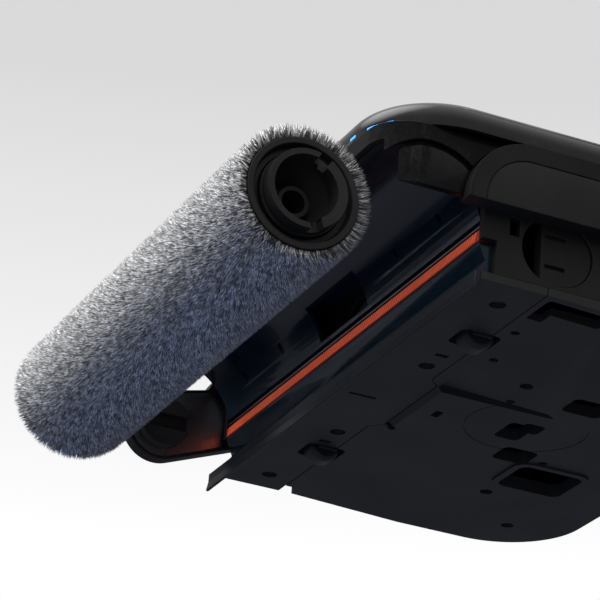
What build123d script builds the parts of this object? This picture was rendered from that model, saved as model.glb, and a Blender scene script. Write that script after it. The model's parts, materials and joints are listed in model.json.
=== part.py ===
"""Upright wet and dry floor washer, with its cleaning roller taken out and lying in front of the head.

Millimetres, +Z up, -Y the way the machine is pushed, +X its left side as its user stands.
Pieces are laid out in a head frame whose Y is 0 on the axis of the roller as it lies on the floor.
export() moves them all to the middle of the machine's box, so the origin is on the floor under it.
"""

import os
from math import cos, radians, sin

from build123d import *

# ---- Clearances and walls ---------------------------------------------------------------------
RUN_GAP = 0.05  # radial play of a shaft in its bore
GAP = 0.3  # between pieces that move past each other
SEAM = 0.2  # between fixed covers that lie side by side
WALL = 2.5  # moulded covers
RIB = 3.5  # chassis walls
CUT = 1.0  # how far a cutting shape runs past the face that it cuts

# ---- Cleaning roller --------------------------------------------------------------------------
ROLLER_R = 28.0  # to the tips of the pile
ROLLER_LENGTH = 230.0
PILE_DEPTH = 6.0
PILE_SETBACK = 1.0  # the pile ends short of the caps' faces
TUBE_WALL = 2.0
CAP_DEPTH = 5.0
CAP_RIM = 2.5
CAP_DISH = 3.8  # how deep the end cap is dished inside its rim
CAP_SPIGOT = 6.0
INSERT_R = 16.3
RING_R = 15.6
RING_WALL = 2.2
RING_PAD = 1.6  # extra thickness of the wide side of the ring
RING_PROUD = 4.5
RING_SLOT = (6.0, 5.0)  # notches in the ring: radially, round it
RING_SLOT_ANGLES = (66, -73)
BORE_STEPS = (7.2, 6.2, 4.6, 9.4)  # radii inside the insert: funnel, ledge, bearing bore, back
TONGUE = (18.0, 6.0, 4.3)  # drive tongue: along Y, along Z, out of the end
ROLLER_TRAVEL = 42.0  # from the floor in front of the head to the seat in the chamber

# ---- Roller drive -----------------------------------------------------------------------------
BIG_PULLEY_R = 12.0
SMALL_PULLEY_R = 6.0
PULLEY_WIDTH = 2.8
BELT_THICK = 1.2
SHAFT_R = 3.0
DOG_R = 11.0
PLATE_THICK = 2.0
PLATE_EDGE = 2.0  # the gearbox plate stands this much past the pulleys
COVER_SKIN = 1.4
MOTOR_R = 15.5
MOTOR_LENGTH = 64.0
MOTOR_BEHIND = 36.0  # from the chassis' front wall back to the motor's shaft
MOTOR_ABOVE = 22.0  # from the roller's axis up to the motor's shaft
MOTOR_BOSS_R = 7.0

# ---- Head -------------------------------------------------------------------------------------
SOLE_Z = 10.0  # underside of the front sole
SOLE_THICK = 3.0
PAD_DROP = 2.0  # the rear base plate stands this much below the sole
HEAD_LENGTH = 205.0
HEAD_OPEN = 15.0  # from the seated roller's axis forwards to the head's front
PANEL_DEPTH = 8.0  # how far the side panels and the shell stand past the chassis
FRONT_CORNER = 35.0
REAR_CORNER = 45.0
SHELL_STEP = 7.0  # from the chamber's liner up to the shell's lower rim
SHELL_HEIGHT = 12.5
SHELL_ROUND = 9.0
LED_HEIGHT = 1.3
LED_DEPTH = 1.2
LED_SPANS = ((91.5, 96.0), (103.0, 114.0))  # along X, on either front corner
SEAM_BACK = 27.6  # from the sole's front edge to the seam with the base plate
SEAM_STEP = 4.7  # the seam jogs back this far in its middle stretch
SEAM_GAP = 0.5
ARCH_R = 25.8  # front arch of the side panels
ARCH_PLACE = (15.7, 11.0)  # its centre: back from the scraper, up from the roller's axis
ARCH_SEAM = 19.0
PANEL_RISE = 10.0  # from the roller's axis up to the side panels' lower edge
GROOVE = 0.5
SKIRT_INSET = 4.2  # the skirt stands this much inside the shell
SKIRT_CORNER = 17.0
SKIRT_WALL = 2.2
CHEEK_R = 24.6  # D-shaped plate beside the roller
CHEEK_PLACE = (4.0, 3.0)  # its centre: back from the seated roller's axis, up from it
CHEEK_GAP = 2.4
CHEEK_RISE = 12.0  # its straight edge, up from the roller's axis
LINER_GAP = 1.5
LINER_WALL = 1.5
MOUTH_HALF = 22.0  # suction mouth in the liner
NOZZLE_PITCH = 36.0
NOZZLE_COUNT = 6
NOZZLE_R = 1.3
SPRAY_BAR = (100.0, 8.0)  # half length, depth
DUCT_R = 16.0
DUCT_Z = 36.0

# ---- Scraper, lip and openings in the sole ----------------------------------------------------
STRIP_LOW = 26.7
STRIP_HEIGHT = 4.2
STRIP_DEPTH = 3.9
TRIM_GROOVE = 1.5  # from the strip up to the bright trim
TRIM_HEIGHT = 0.7
LIP_LOW = 5.0
LIP_OVERHANG = 7.0  # the lip runs on past the sole at the machine's right
PORT_R = 13.2
PORT_STRETCH = 1.6  # the side port is longer than it is high, by this much at each end
PORT_PLACE = (31.2, 28.0)  # its centre: back from the scraper, height
PORT_SLOT = (8.5, 1.8)  # finger slots in the plug: along Y, along Z
PORT_SLOT_SPACING = 12.0
HOOK_SLOT = (11.0, 15.1, 30.5, 38.0)  # in the side wall: from and to, back from the scraper; low and high
SOLE_SCREW_R = 3.2
PLATE_SCREW_R = 2.7
PEG_R = 1.85
SCREW_RECESS = 2.1

# ---- Wheels -----------------------------------------------------------------------------------
CASTER_R = 7.0
CASTER_Z = 12.0
CASTER_WIDTH = 9.0
CASTER_X = 69.0
CASTER_BACK = 24.0  # from the sole's front edge to the casters' axle
CASTER_PIN_R = 1.6
CASTER_ROOM = 1.5  # round the caster in its cradle
CRADLE_WALL = 2.5
WHEEL_R = 30.0
TYRE_DEPTH = 4.0
WHEEL_WIDTH = 20.0
WHEEL_HUB_R = 8.5
SPOKE_HOLE_R = 4.2
SPOKES = 5
AXLE_BACK = 68.0  # from the head's rear to the rear axle
AXLE_R = 4.0
AXLE_HEAD_R = 7.0
BRACKET_IN = 56.0  # from the chassis' side in to the middle of a bracket
BRACKET_THICK = 9.0

# ---- Neck and upright body --------------------------------------------------------------------
PIVOT_Z = 50.0
YOKE_R = 13.0
PIN_R = 6.0
PIN_REACH = 16.0  # of a neck pin into the yoke
POST_R = 16.0
POST_WALL = 5.0
POST_LENGTH = 16.0
COLLAR_R = 34.0
COLLAR_DEPTH = 14.0
COLUMN_RISE = 62.0  # from the neck's pivot up to the column
COLUMN_HALF = 62.0
COLUMN_DEPTH = 112.0
COLUMN_BACK = 45.0  # from the rear axle to the column's rear
COLUMN_CORNER = 30.0
SPINE_DEPTH = 42.0
COVER_DEPTH = 32.0
FOOT_HEIGHT = 53.0  # block under the dirty tank
DIRTY_HEIGHT = 185.0
BAY_HEIGHT = 132.0  # motor bay between the two tanks
CLEAN_HEIGHT = 208.0
CROWN_HEIGHT = 50.0
TANK_GAP = 0.8
TANK_WALL = 2.0
LID_HEIGHT = 26.0
FLAP_SIZE = (44.0, 28.0, 3.0)  # along X, along Z, thickness
FLAP_DROP = 28.0  # from the clean tank's top down to the flap's
FLAP_GAP = 0.5
VENTS = 9
VENT_PITCH = 7.0
VENT_SIZE = (52.0, 2.6)
LATCH_R = 8.0
LATCH_RISE = 16.0
LATCH_PROUD = 1.6
SUCTION_R = 29.0
SUCTION_HEIGHT = 62.0
FAN_R = 27.0
FAN_BLADES = 9
DISPLAY_R = 24.0
DISPLAY_SINK = 2.0

# ---- Handle -----------------------------------------------------------------------------------
HANDLE_TOP = 1105.0
GRIP_HEIGHT = 160.0
TUBE_R = 14.0
TUBE_SKIN = 1.6
TUBE_IN = 30.0  # from the column's rear to the handle tube's axis
TUBE_SOCKET = 34.0
GRIP_SOCKET = 24.0
GRIP_HALF = 15.0
GRIP_AHEAD = 38.0
GRIP_BEHIND = 29.0
GRIP_BAR = 15.0
BUTTON_R = 6.0
BUTTON_DEPTH = 4.0
BUTTON_PROUD = 1.6
BUTTON_TRAVEL = 3.0  # room behind a button
BUTTON_RISES = (66.0, 88.0)  # above the grip's lower end

# ---- Values that follow: roller and drive -----------------------------------------------------
ROLLER_HALF = ROLLER_LENGTH / 2
CORE_R = ROLLER_R - PILE_DEPTH
SEAT_Y = ROLLER_TRAVEL  # roller axis when seated
AXIS_Z = ROLLER_R
STRIP_Y = SEAT_Y + ROLLER_R + GAP  # front of the scraper strip, just behind the seated roller
STRIP_TOP = STRIP_LOW + STRIP_HEIGHT
TRIM_LOW = STRIP_TOP + TRIM_GROOVE
TRIM_TOP = TRIM_LOW + TRIM_HEIGHT
LINER_R = ROLLER_R + LINER_GAP
LINER_HALF = ROLLER_HALF + LINER_GAP - SEAM
CEILING = AXIS_Z + LINER_R

# ---- Values that follow: head -----------------------------------------------------------------
BASE_HALF = ROLLER_HALF + LINER_GAP + RIB
WALL_IN = BASE_HALF - RIB
SHELL_HALF = BASE_HALF + PANEL_DEPTH
SKIRT_HALF = SHELL_HALF - SKIRT_INSET
HEAD_FRONT = SEAT_Y - HEAD_OPEN
HEAD_REAR = HEAD_FRONT + HEAD_LENGTH
SOLE_FRONT = STRIP_Y
CHASSIS_FRONT = SOLE_FRONT + 6.0
CHASSIS_REAR = HEAD_REAR - PANEL_DEPTH
SEAM_Y = SOLE_FRONT + SEAM_BACK
BASE_Z = SOLE_Z - PAD_DROP
FLOOR_TOP = SOLE_Z + SOLE_THICK
SHELL_LOW = CEILING + SHELL_STEP
SHELL_TOP = SHELL_LOW + SHELL_HEIGHT
LED_LOW = SHELL_LOW + 1.6
PANEL_LOW = AXIS_Z + PANEL_RISE
ARCH_Y = STRIP_Y + ARCH_PLACE[0]
ARCH_Z = AXIS_Z + ARCH_PLACE[1]
CHEEK_Y = SEAT_Y + CHEEK_PLACE[0]
CHEEK_Z = AXIS_Z + CHEEK_PLACE[1]
CHEEK_LOW = AXIS_Z + CHEEK_RISE
PORT_Y = STRIP_Y + PORT_PLACE[0]
PORT_Z = PORT_PLACE[1]
MOTOR_Y = CHASSIS_FRONT + MOTOR_BEHIND
MOTOR_Z = AXIS_Z + MOTOR_ABOVE
MOTOR_X = -WALL_IN + 4.5  # outer end of the motor's can
DRIVE_X = -BASE_HALF - 1.0  # outer face of the drive side's bearing plate
BELT_X = DRIVE_X - PLATE_THICK - GAP  # inner faces of the pulleys
CASTER_Y = SOLE_FRONT + CASTER_BACK
AXLE_Y = HEAD_REAR + AXLE_BACK
BRACKET_X = BASE_HALF - BRACKET_IN
WHEEL_X = BRACKET_X + BRACKET_THICK / 2 + 1.0

# ---- Values that follow: upright body and handle ----------------------------------------------
COLUMN_REAR = AXLE_Y + COLUMN_BACK
COLUMN_FRONT = COLUMN_REAR - COLUMN_DEPTH
COLUMN_Y = (COLUMN_FRONT + COLUMN_REAR) / 2
COLUMN_LOW = PIVOT_Z + COLUMN_RISE
SPINE_FRONT = COLUMN_REAR - SPINE_DEPTH
COVER_REAR = COLUMN_FRONT + COVER_DEPTH
TANK_REAR = SPINE_FRONT - TANK_GAP
FOOT_FLOOR = COLUMN_LOW + POST_LENGTH + 3.0
FOOT_TOP = COLUMN_LOW + FOOT_HEIGHT
BAY_LOW = FOOT_TOP + DIRTY_HEIGHT
BAY_TOP = BAY_LOW + BAY_HEIGHT
CLEAN_TOP = BAY_TOP + CLEAN_HEIGHT
COLUMN_TOP = CLEAN_TOP + CROWN_HEIGHT
BAY_Y = (COLUMN_FRONT + SPINE_FRONT) / 2 + 1.0
SUCTION_LOW = BAY_LOW + WALL
SUCTION_TOP = SUCTION_LOW + SUCTION_HEIGHT
LATCH_Z = BAY_LOW + LATCH_RISE
LID_LOW = BAY_LOW - TANK_GAP - LID_HEIGHT
FLAP_TOP = CLEAN_TOP - FLAP_DROP
FLAP_LOW = FLAP_TOP - FLAP_SIZE[1]
DISPLAY_Y = COLUMN_FRONT + 38.0
TUBE_Y = COLUMN_REAR - TUBE_IN
GRIP_LOW = HANDLE_TOP - GRIP_HEIGHT
GRIP_FRONT = TUBE_Y - GRIP_AHEAD
GRIP_REAR = TUBE_Y + GRIP_BEHIND
MID_Y = (COLUMN_REAR - ROLLER_R) / 2

# ---- Openings in the sole and the base plate --------------------------------------------------
# Across: from the middle for those near it, in from the side for those near a side. Back: from the seam.
SOLE_SCREWS = [(BASE_HALF - 17.8, SEAM_Y - 11.3), (36.4, SEAM_Y - 7.6), (-45.1, SEAM_Y - 7.3)]
SOLE_SCREWS += [(-BASE_HALF + 14.9, SEAM_Y - 11.0)]
PLATE_SCREWS = [(42.4, SEAM_Y + 33.2), (-65.5, SEAM_Y + 72.1)]
PLATE_SCREWS += [(BASE_HALF - 24.0, SEAM_Y + 92.4), (-BASE_HALF + 24.0, SEAM_Y + 98.4)]
PEG_HOLES = [(83.3, SEAM_Y + 6.2), (56.5, SEAM_Y + 11.2), (25.5, SEAM_Y + 35.1), (-24.3, SEAM_Y + 7.0)]
PEG_HOLES += [(-23.6, SEAM_Y + 76.4)]
SOLE_SLOTS = [  # centre x and y, size x and y, corner
    (48.6, SEAM_Y - 7.2, 2.6, 5.5, 0.6),
    (-57.4, SEAM_Y - 7.4, 2.6, 5.0, 0.6),
    (-4.4, SEAM_Y - 15.6, 1.8, 12.0, 0.5),
]
PLATE_SLOTS = [
    (-0.7, SEAM_Y + 15.8, 6.2, 3.4, 0.3),
    (0.5, SEAM_Y + 50.2, 17.0, 11.0, 2.5),
    (6.8, SEAM_Y + 54.7, 9.5, 9.0, 2.0),
    (-22.2, SEAM_Y + 62.7, 14.5, 15.5, 3.0),
    (37.8, SEAM_Y + 63.0, 14.5, 17.0, 3.0),
    (BASE_HALF - 14.0, SEAM_Y + 6.2, 17.0, 6.4, 1.0),
    (BASE_HALF - 9.4, SEAM_Y + 16.4, 11.0, 26.0, 1.0),
    (-BASE_HALF + 3.0, SEAM_Y + 3.0, 8.0, 6.0, 0.5),
]
WELL = (-41.0, SEAM_Y + 84.6, 25.0, 29.0, 4.0)  # the large opening, with a raised rim
WELL_RIM = 3.0
WELL_PROUD = 0.8
RING_MARK = (6.5, SEAM_Y + 52.4, 25.5)  # moulded ring: centre x and y, radius
RAMP_LENGTH = 57.0  # the base plate's sides fall from the sole's level to the pad's over this length
PAD_HALVES = (20.5, -27.0)  # the pad's sides, along X
PAD_GROOVE = 3.2


# ---- Shapes -----------------------------------------------------------------------------------
def block(x0, x1, y0, y1, z0, z1):
    return Pos((x0 + x1) / 2, (y0 + y1) / 2, (z0 + z1) / 2) * Box(x1 - x0, y1 - y0, z1 - z0)


def rod_x(y, z, radius, x0, x1):
    return Pos((x0 + x1) / 2, y, z) * Rot(0, 90, 0) * Cylinder(radius, x1 - x0)


def rod_y(x, z, radius, y0, y1):
    return Pos(x, (y0 + y1) / 2, z) * Rot(90, 0, 0) * Cylinder(radius, y1 - y0)


def rod_z(x, y, radius, z0, z1):
    return Pos(x, y, (z0 + z1) / 2) * Cylinder(radius, z1 - z0)


def tube_x(y, z, outer, inner, x0, x1):
    return rod_x(y, z, outer, x0, x1) - rod_x(y, z, inner, x0 - CUT, x1 + CUT)


def side_prism(points, x0, x1):
    """A (y, z) outline pushed along X."""
    face = Plane.YZ.offset(x0) * make_face(Polyline(*points, close=True))
    return extrude(face, x1 - x0)


def plan_prism(points, z0, z1):
    """An (x, y) outline pushed up."""
    face = Plane.XY.offset(z0) * make_face(Polyline(*points, close=True))
    return extrude(face, z1 - z0)


def front_prism(points, y0, y1):
    """An (x, z) outline pushed along Y."""
    face = Plane.XZ.offset(-y1) * make_face(Polyline(*points, close=True))
    return extrude(face, y1 - y0)


def rounded_plan(half, y0, y1, front_r, rear_r, z0, z1):
    """A plate, symmetric in X, with its own corner radius at the front and at the rear."""
    plate = block(-half, half, y0, y1, z0, z1)
    if front_r:
        plate = fillet(plate.edges().filter_by(Axis.Z).group_by(Axis.Y)[0], front_r)
    if rear_r:
        plate = fillet(plate.edges().filter_by(Axis.Z).group_by(Axis.Y)[-1], rear_r)
    return plate


def pill_hole(x, y, size_x, size_y, corner, z0, z1):
    hole = block(x - size_x / 2, x + size_x / 2, y - size_y / 2, y + size_y / 2, z0, z1)
    return fillet(hole.edges().filter_by(Axis.Z), corner)


def turned_x(profile, y, z):
    """A closed (x, radius) outline turned about an axis along X."""
    face = make_face(Polyline(*profile, close=True))
    return Pos(0, y, z) * revolve(face, Axis.X)


def mirrored(shape):
    return mirror(shape, Plane.YZ)


# ---- Roller -----------------------------------------------------------------------------------
def roller_pile():
    half = ROLLER_HALF - PILE_SETBACK
    return tube_x(0, AXIS_Z, ROLLER_R, CORE_R, -half, half)


def roller_tube():
    half = ROLLER_HALF - CAP_DEPTH
    return tube_x(0, AXIS_Z, CORE_R, CORE_R - TUBE_WALL, -half, half)


def roller_end_cap():
    shoulder = ROLLER_HALF - CAP_DEPTH
    dish = ROLLER_HALF - CAP_DISH
    bore = INSERT_R + GAP
    profile = [
        (ROLLER_HALF, CORE_R),
        (ROLLER_HALF, CORE_R - CAP_RIM),
        (dish, CORE_R - CAP_RIM - 0.6),
        (dish, bore),
        (shoulder - CAP_SPIGOT, bore),
        (shoulder - CAP_SPIGOT, CORE_R - TUBE_WALL),
        (shoulder, CORE_R - TUBE_WALL),
        (shoulder, CORE_R),
    ]
    return turned_x(profile, 0, AXIS_Z)


def roller_bearing_insert():
    """The still end of the roller: a notched ring that locks in the head, round a stepped bore."""
    face = ROLLER_HALF
    inner = RING_R - RING_WALL
    funnel, ledge, bearing, back_bore = BORE_STEPS
    back = face - CAP_DEPTH - CAP_SPIGOT
    profile = [
        (face - 2, INSERT_R),
        (face - 2, RING_R),
        (face + RING_PROUD, RING_R),
        (face + RING_PROUD, inner),
        (face - 3, inner),
        (back - 3, funnel),
        (back - 3, ledge),
        (back + 2, ledge),
        (back + 2, bearing),
        (back - 7, bearing),
        (back - 7, back_bore),
        (back, inner),
        (back, INSERT_R),
    ]
    insert = turned_x(profile, 0, AXIS_Z)
    pad = tube_x(0, AXIS_Z, inner, inner - RING_PAD, face - 2.5, face + RING_PROUD)
    insert += pad & block(back, face + 2 * RING_PROUD, RING_R * 0.3, RING_R, AXIS_Z - RING_R, AXIS_Z + RING_R)
    for angle in RING_SLOT_ANGLES:
        reach = RING_R - 1
        spot = Pos(face + RING_PROUD / 2, reach * cos(radians(angle)), AXIS_Z + reach * sin(radians(angle)))
        insert -= spot * Rot(angle, 0, 0) * Box(RING_PROUD, *RING_SLOT)
    return insert


def roller_drive_plug():
    """The driven end cap, with a tongue across its face."""
    face = -ROLLER_HALF
    along, high, proud = TONGUE
    shoulder = face + CAP_DEPTH
    spigot_r = CORE_R - TUBE_WALL
    plug = rod_x(0, AXIS_Z, CORE_R, face, shoulder)
    plug += tube_x(0, AXIS_Z, spigot_r, spigot_r - TUBE_WALL, shoulder, shoulder + CAP_SPIGOT)
    recess = tube_x(0, AXIS_Z, CORE_R - CAP_RIM, along / 2 + 2, face - CUT, face + 3)
    tongue = block(face - proud, face + 1, -along / 2, along / 2, AXIS_Z - high / 2, AXIS_Z + high / 2)
    return plug - recess + tongue


# ---- Roller drive, on the right side of the head ----------------------------------------------
def drive_dog():
    """The socket that turns the roller: the tongue slides into its slot from the front."""
    _, high, proud = TONGUE
    front = -ROLLER_HALF - 2 * GAP
    dog = rod_x(SEAT_Y, AXIS_Z, DOG_R, DRIVE_X + GAP, front)
    slot = block(
        -ROLLER_HALF - proud - GAP,
        front + CUT,
        SEAT_Y - 2 * DOG_R,
        SEAT_Y + 2 * DOG_R,
        AXIS_Z - high / 2 - GAP,
        AXIS_Z + high / 2 + GAP,
    )
    return dog - slot + rod_x(SEAT_Y, AXIS_Z, SHAFT_R, BELT_X - PULLEY_WIDTH, DRIVE_X + GAP)


def pulley(y, z, radius):
    wheel = rod_x(y, z, radius, BELT_X - PULLEY_WIDTH, BELT_X)
    return wheel - rod_x(y, z, SHAFT_R, BELT_X - PULLEY_WIDTH - CUT, BELT_X + CUT)


def drive_pulley():
    return pulley(SEAT_Y, AXIS_Z, BIG_PULLEY_R)


def motor_pulley():
    """The small pulley with the motor's shaft, which turns with it."""
    shaft = rod_x(MOTOR_Y, MOTOR_Z, SHAFT_R, BELT_X - PULLEY_WIDTH, MOTOR_X + 24)
    return pulley(MOTOR_Y, MOTOR_Z, SMALL_PULLEY_R) + shaft


def roller_motor():
    can = rod_x(MOTOR_Y, MOTOR_Z, MOTOR_R, MOTOR_X, MOTOR_X + MOTOR_LENGTH)
    can = chamfer(can.edges(), 1.5)
    boss = rod_x(MOTOR_Y, MOTOR_Z, MOTOR_BOSS_R, -WALL_IN, MOTOR_X)
    return can + boss - rod_x(MOTOR_Y, MOTOR_Z, SHAFT_R + RUN_GAP, -BASE_HALF, MOTOR_X + 25)


def belt_loop(outer_big, outer_small, x0, x1):
    """The hull of two discs about the pulleys' axes."""
    dy = MOTOR_Y - SEAT_Y
    dz = MOTOR_Z - AXIS_Z
    span = (dy * dy + dz * dz) ** 0.5
    tilt = (outer_big - outer_small) / span
    side = (1 - tilt * tilt) ** 0.5
    uy, uz = dy / span, dz / span
    corners = []
    for cy, cz, radius in ((SEAT_Y, AXIS_Z, outer_big), (MOTOR_Y, MOTOR_Z, outer_small)):
        corners.append((cy + radius * (tilt * uy - side * uz), cz + radius * (tilt * uz + side * uy)))
    for cy, cz, radius in ((MOTOR_Y, MOTOR_Z, outer_small), (SEAT_Y, AXIS_Z, outer_big)):
        corners.append((cy + radius * (tilt * uy + side * uz), cz + radius * (tilt * uz - side * uy)))
    big = rod_x(SEAT_Y, AXIS_Z, outer_big, x0, x1)
    small = rod_x(MOTOR_Y, MOTOR_Z, outer_small, x0, x1)
    return big + small + side_prism(corners, x0, x1)


def drive_belt():
    outside = GAP + BELT_THICK
    edge = 0.2
    loop = belt_loop(
        BIG_PULLEY_R + outside, SMALL_PULLEY_R + outside, BELT_X - PULLEY_WIDTH + edge, BELT_X - edge
    )
    inside = (BIG_PULLEY_R + GAP, SMALL_PULLEY_R + GAP)
    return loop - belt_loop(*inside, BELT_X - PULLEY_WIDTH - CUT, BELT_X + CUT)


def gearbox_plate():
    """Bearing plate of the drive, with the motor's boss that stands on the chassis."""
    small = SMALL_PULLEY_R + PLATE_EDGE + 1
    plate = belt_loop(BIG_PULLEY_R + PLATE_EDGE, small, DRIVE_X - PLATE_THICK, DRIVE_X)
    plate += rod_x(MOTOR_Y, MOTOR_Z, small, DRIVE_X, -BASE_HALF)
    for y, z in ((SEAT_Y, AXIS_Z), (MOTOR_Y, MOTOR_Z)):
        plate -= rod_x(y, z, SHAFT_R + RUN_GAP, DRIVE_X - PLATE_THICK - CUT, -BASE_HALF + CUT)
    return plate


def cover_loop(offset, x0, x1):
    big = BIG_PULLEY_R + PLATE_EDGE + 0.1 + offset
    small = SMALL_PULLEY_R + PLATE_EDGE + 1.1 + offset
    return belt_loop(big, small, x0, x1)


def belt_cover():
    cover = cover_loop(COVER_SKIN, -SHELL_HALF, DRIVE_X)
    cover = fillet(cover.faces().sort_by(Axis.X)[0].edges(), 1)
    return cover - cover_loop(0, -SHELL_HALF + COVER_SKIN, DRIVE_X + CUT)


# ---- Head casing ------------------------------------------------------------------------------
def shell_plan(inset, z0, z1):
    front, rear = FRONT_CORNER - inset, REAR_CORNER - inset
    return rounded_plan(SHELL_HALF - inset, HEAD_FRONT + inset, HEAD_REAR - inset, front, rear, z0, z1)


def chassis_plan(inset, y0, z0, z1):
    corner = REAR_CORNER - PANEL_DEPTH
    return rounded_plan(BASE_HALF - inset, y0, CHASSIS_REAR - inset, 0, corner - inset, z0, z1)


def top_shell():
    shell = shell_plan(0, SHELL_LOW, SHELL_TOP)
    shell = fillet(shell.faces().sort_by(Axis.Z)[-1].edges(), SHELL_ROUND)
    inside = shell_plan(WALL, SHELL_LOW - CUT, SHELL_TOP - WALL)
    inside = fillet(inside.faces().sort_by(Axis.Z)[-1].edges(), SHELL_ROUND - WALL)
    return shell - inside - led_strip()


def led_strip():
    """The light guide: round both front corners of the shell, in two lengths each."""
    high = LED_LOW + LED_HEIGHT
    ring = shell_plan(0, LED_LOW, high) - shell_plan(LED_DEPTH, LED_LOW - CUT, high + CUT)
    front = (HEAD_FRONT - CUT, HEAD_FRONT + FRONT_CORNER)
    spans = [block(x0, x1, *front, LED_LOW, high) for x0, x1 in LED_SPANS]
    both = spans[0] + spans[1]
    return ring & (both + mirrored(both))


def skirt_band(inset, z0, z1):
    return rounded_plan(SKIRT_HALF - inset, HEAD_FRONT + inset, ARCH_Y + 9, SKIRT_CORNER - inset, 0, z0, z1)


def visor_skirt():
    """Wall under the shell's front: low across the front, and down to the cheek on the left side."""
    clear = AXIS_Z + RING_R + GAP + 0.1
    band = skirt_band(0, CEILING, SHELL_LOW) - skirt_band(SKIRT_WALL, CEILING - CUT, SHELL_LOW + CUT)
    side = skirt_band(0, clear, CEILING) - skirt_band(SKIRT_WALL, clear - CUT, CEILING + CUT)
    side = side & block(WALL_IN - GAP, SHELL_HALF, HEAD_FRONT, ARCH_Y, clear, CEILING)
    skirt = (band + side) & block(-ROLLER_HALF, SHELL_HALF, HEAD_FRONT, ARCH_Y, clear, SHELL_LOW)
    arch = rod_x(CHEEK_Y, CHEEK_Z, CHEEK_R + CHEEK_GAP, SKIRT_HALF - SKIRT_CORNER, SHELL_HALF)
    return skirt - arch - rod_x(ARCH_Y, ARCH_Z, ARCH_R + GAP, ROLLER_HALF, SHELL_HALF)


def cheek_plate():
    """Cover beside the roller's bearing end: a D-shaped face on a wider flange behind the skirt."""
    inner = SKIRT_HALF - SKIRT_WALL
    behind = BASE_HALF + 0.1
    above = block(behind, SHELL_HALF, HEAD_FRONT, ARCH_Y, CHEEK_LOW, SHELL_LOW)
    flange = rod_x(CHEEK_Y, CHEEK_Z, CHEEK_R + CHEEK_GAP + 2, behind, inner) & above
    flange = flange & skirt_band(SKIRT_WALL, CHEEK_LOW, SHELL_LOW)
    face = skirt_band(0.6, CHEEK_LOW, SHELL_LOW) - skirt_band(SKIRT_WALL, CHEEK_LOW - CUT, SHELL_LOW + CUT)
    face = face & rod_x(CHEEK_Y, CHEEK_Z, CHEEK_R, behind, SKIRT_HALF) & above
    return flange + face - rod_x(ARCH_Y, ARCH_Z, ARCH_R + GAP, behind - CUT, SHELL_HALF)


def side_outline(offset, x0, x1):
    low = PANEL_LOW + offset
    back = block(x0, x1, ARCH_Y, HEAD_REAR, low, SHELL_LOW)
    nose = rod_x(ARCH_Y, ARCH_Z, ARCH_R - offset, x0, x1)
    return back + (nose & block(x0, x1, ARCH_Y - ARCH_R, ARCH_Y, low, SHELL_LOW))


def side_panel_left():
    """Skin over the chassis' side, hollow behind, with a fine seam that runs along it and round its arch."""
    inner = BASE_HALF + SEAM
    skin = side_outline(0, inner, SHELL_HALF)
    pocket = side_outline(WALL, inner - CUT, SHELL_HALF - WALL)
    pocket = pocket & block(BASE_HALF - CUT, SHELL_HALF, 0, CHASSIS_REAR, 0, SHELL_LOW - WALL)
    bed = SHELL_HALF - GROOVE
    groove = tube_x(ARCH_Y, ARCH_Z, ARCH_SEAM, ARCH_SEAM - GROOVE, bed, SHELL_HALF + CUT)
    groove = groove & block(bed, SHELL_HALF + CUT, 0, ARCH_Y, PANEL_LOW, SHELL_LOW)
    top = ARCH_Z + ARCH_SEAM
    groove += block(bed, SHELL_HALF + CUT, ARCH_Y, HEAD_REAR + CUT, top - GROOVE, top)
    return (skin - pocket - groove) & shell_plan(0, PANEL_LOW, SHELL_LOW)


def side_panel_right():
    return mirrored(side_panel_left()) - cover_loop(COVER_SKIN + GAP, -SHELL_HALF - CUT, -BASE_HALF + CUT)


def port(radius, x0, x1):
    """The long round of the side port, through x0 to x1."""
    ends = [rod_x(PORT_Y + side * PORT_STRETCH, PORT_Z, radius, x0, x1) for side in (1, -1)]
    return ends[0] + ends[1] + block(
        x0, x1, PORT_Y - PORT_STRETCH, PORT_Y + PORT_STRETCH, PORT_Z - radius, PORT_Z + radius
    )


def chassis():
    """The head's open box: side walls that reach forward to the scraper, and front and rear walls."""
    walls = chassis_plan(0, CHASSIS_FRONT, FLOOR_TOP, SHELL_LOW)
    walls -= chassis_plan(RIB, CHASSIS_FRONT + RIB, FLOOR_TOP - CUT, SHELL_LOW + CUT)
    slot_y0, slot_y1, slot_z0, slot_z1 = HOOK_SLOT
    for x0, x1 in ((WALL_IN, BASE_HALF), (-BASE_HALF, -WALL_IN)):
        walls += block(x0, x1, STRIP_Y, CHASSIS_FRONT, STRIP_LOW, CHEEK_LOW + 12)
        walls -= port(PORT_R, x0 - CUT, x1 + CUT)
        walls -= block(x0 - CUT, x1 + CUT, STRIP_Y + slot_y0, STRIP_Y + slot_y1, slot_z0, slot_z1)
    walls -= rod_x(MOTOR_Y, MOTOR_Z, SHAFT_R + 1, -BASE_HALF - CUT, -WALL_IN + CUT)
    return walls - rod_y(0, DUCT_Z, DUCT_R - WALL, CHASSIS_FRONT - CUT, CHASSIS_REAR + CUT)


def side_plugs():
    """A push-in plug with two finger slots and one cut-away edge, in each side wall."""
    edge = PORT_Y - PORT_R / 2
    rear_part = block(0, BASE_HALF + CUT, edge, PORT_Y + 2 * PORT_R, 0, PORT_Z + 2 * PORT_R)
    plug = port(PORT_R - 0.4, WALL_IN, BASE_HALF - 1) & rear_part
    plug += port(PORT_R + 1.5, WALL_IN - 2.5, WALL_IN - 0.05) & rear_part
    plug += port(PORT_R - 1, WALL_IN - 1, WALL_IN + 1) & rear_part
    long, thick = PORT_SLOT
    for side in (1, -1):
        z = PORT_Z + side * PORT_SLOT_SPACING / 2
        plug -= block(WALL_IN + 1, BASE_HALF, edge + 1.7, edge + 1.7 + long, z - thick / 2, z + thick / 2)
    return [plug, mirrored(plug)]


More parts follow.
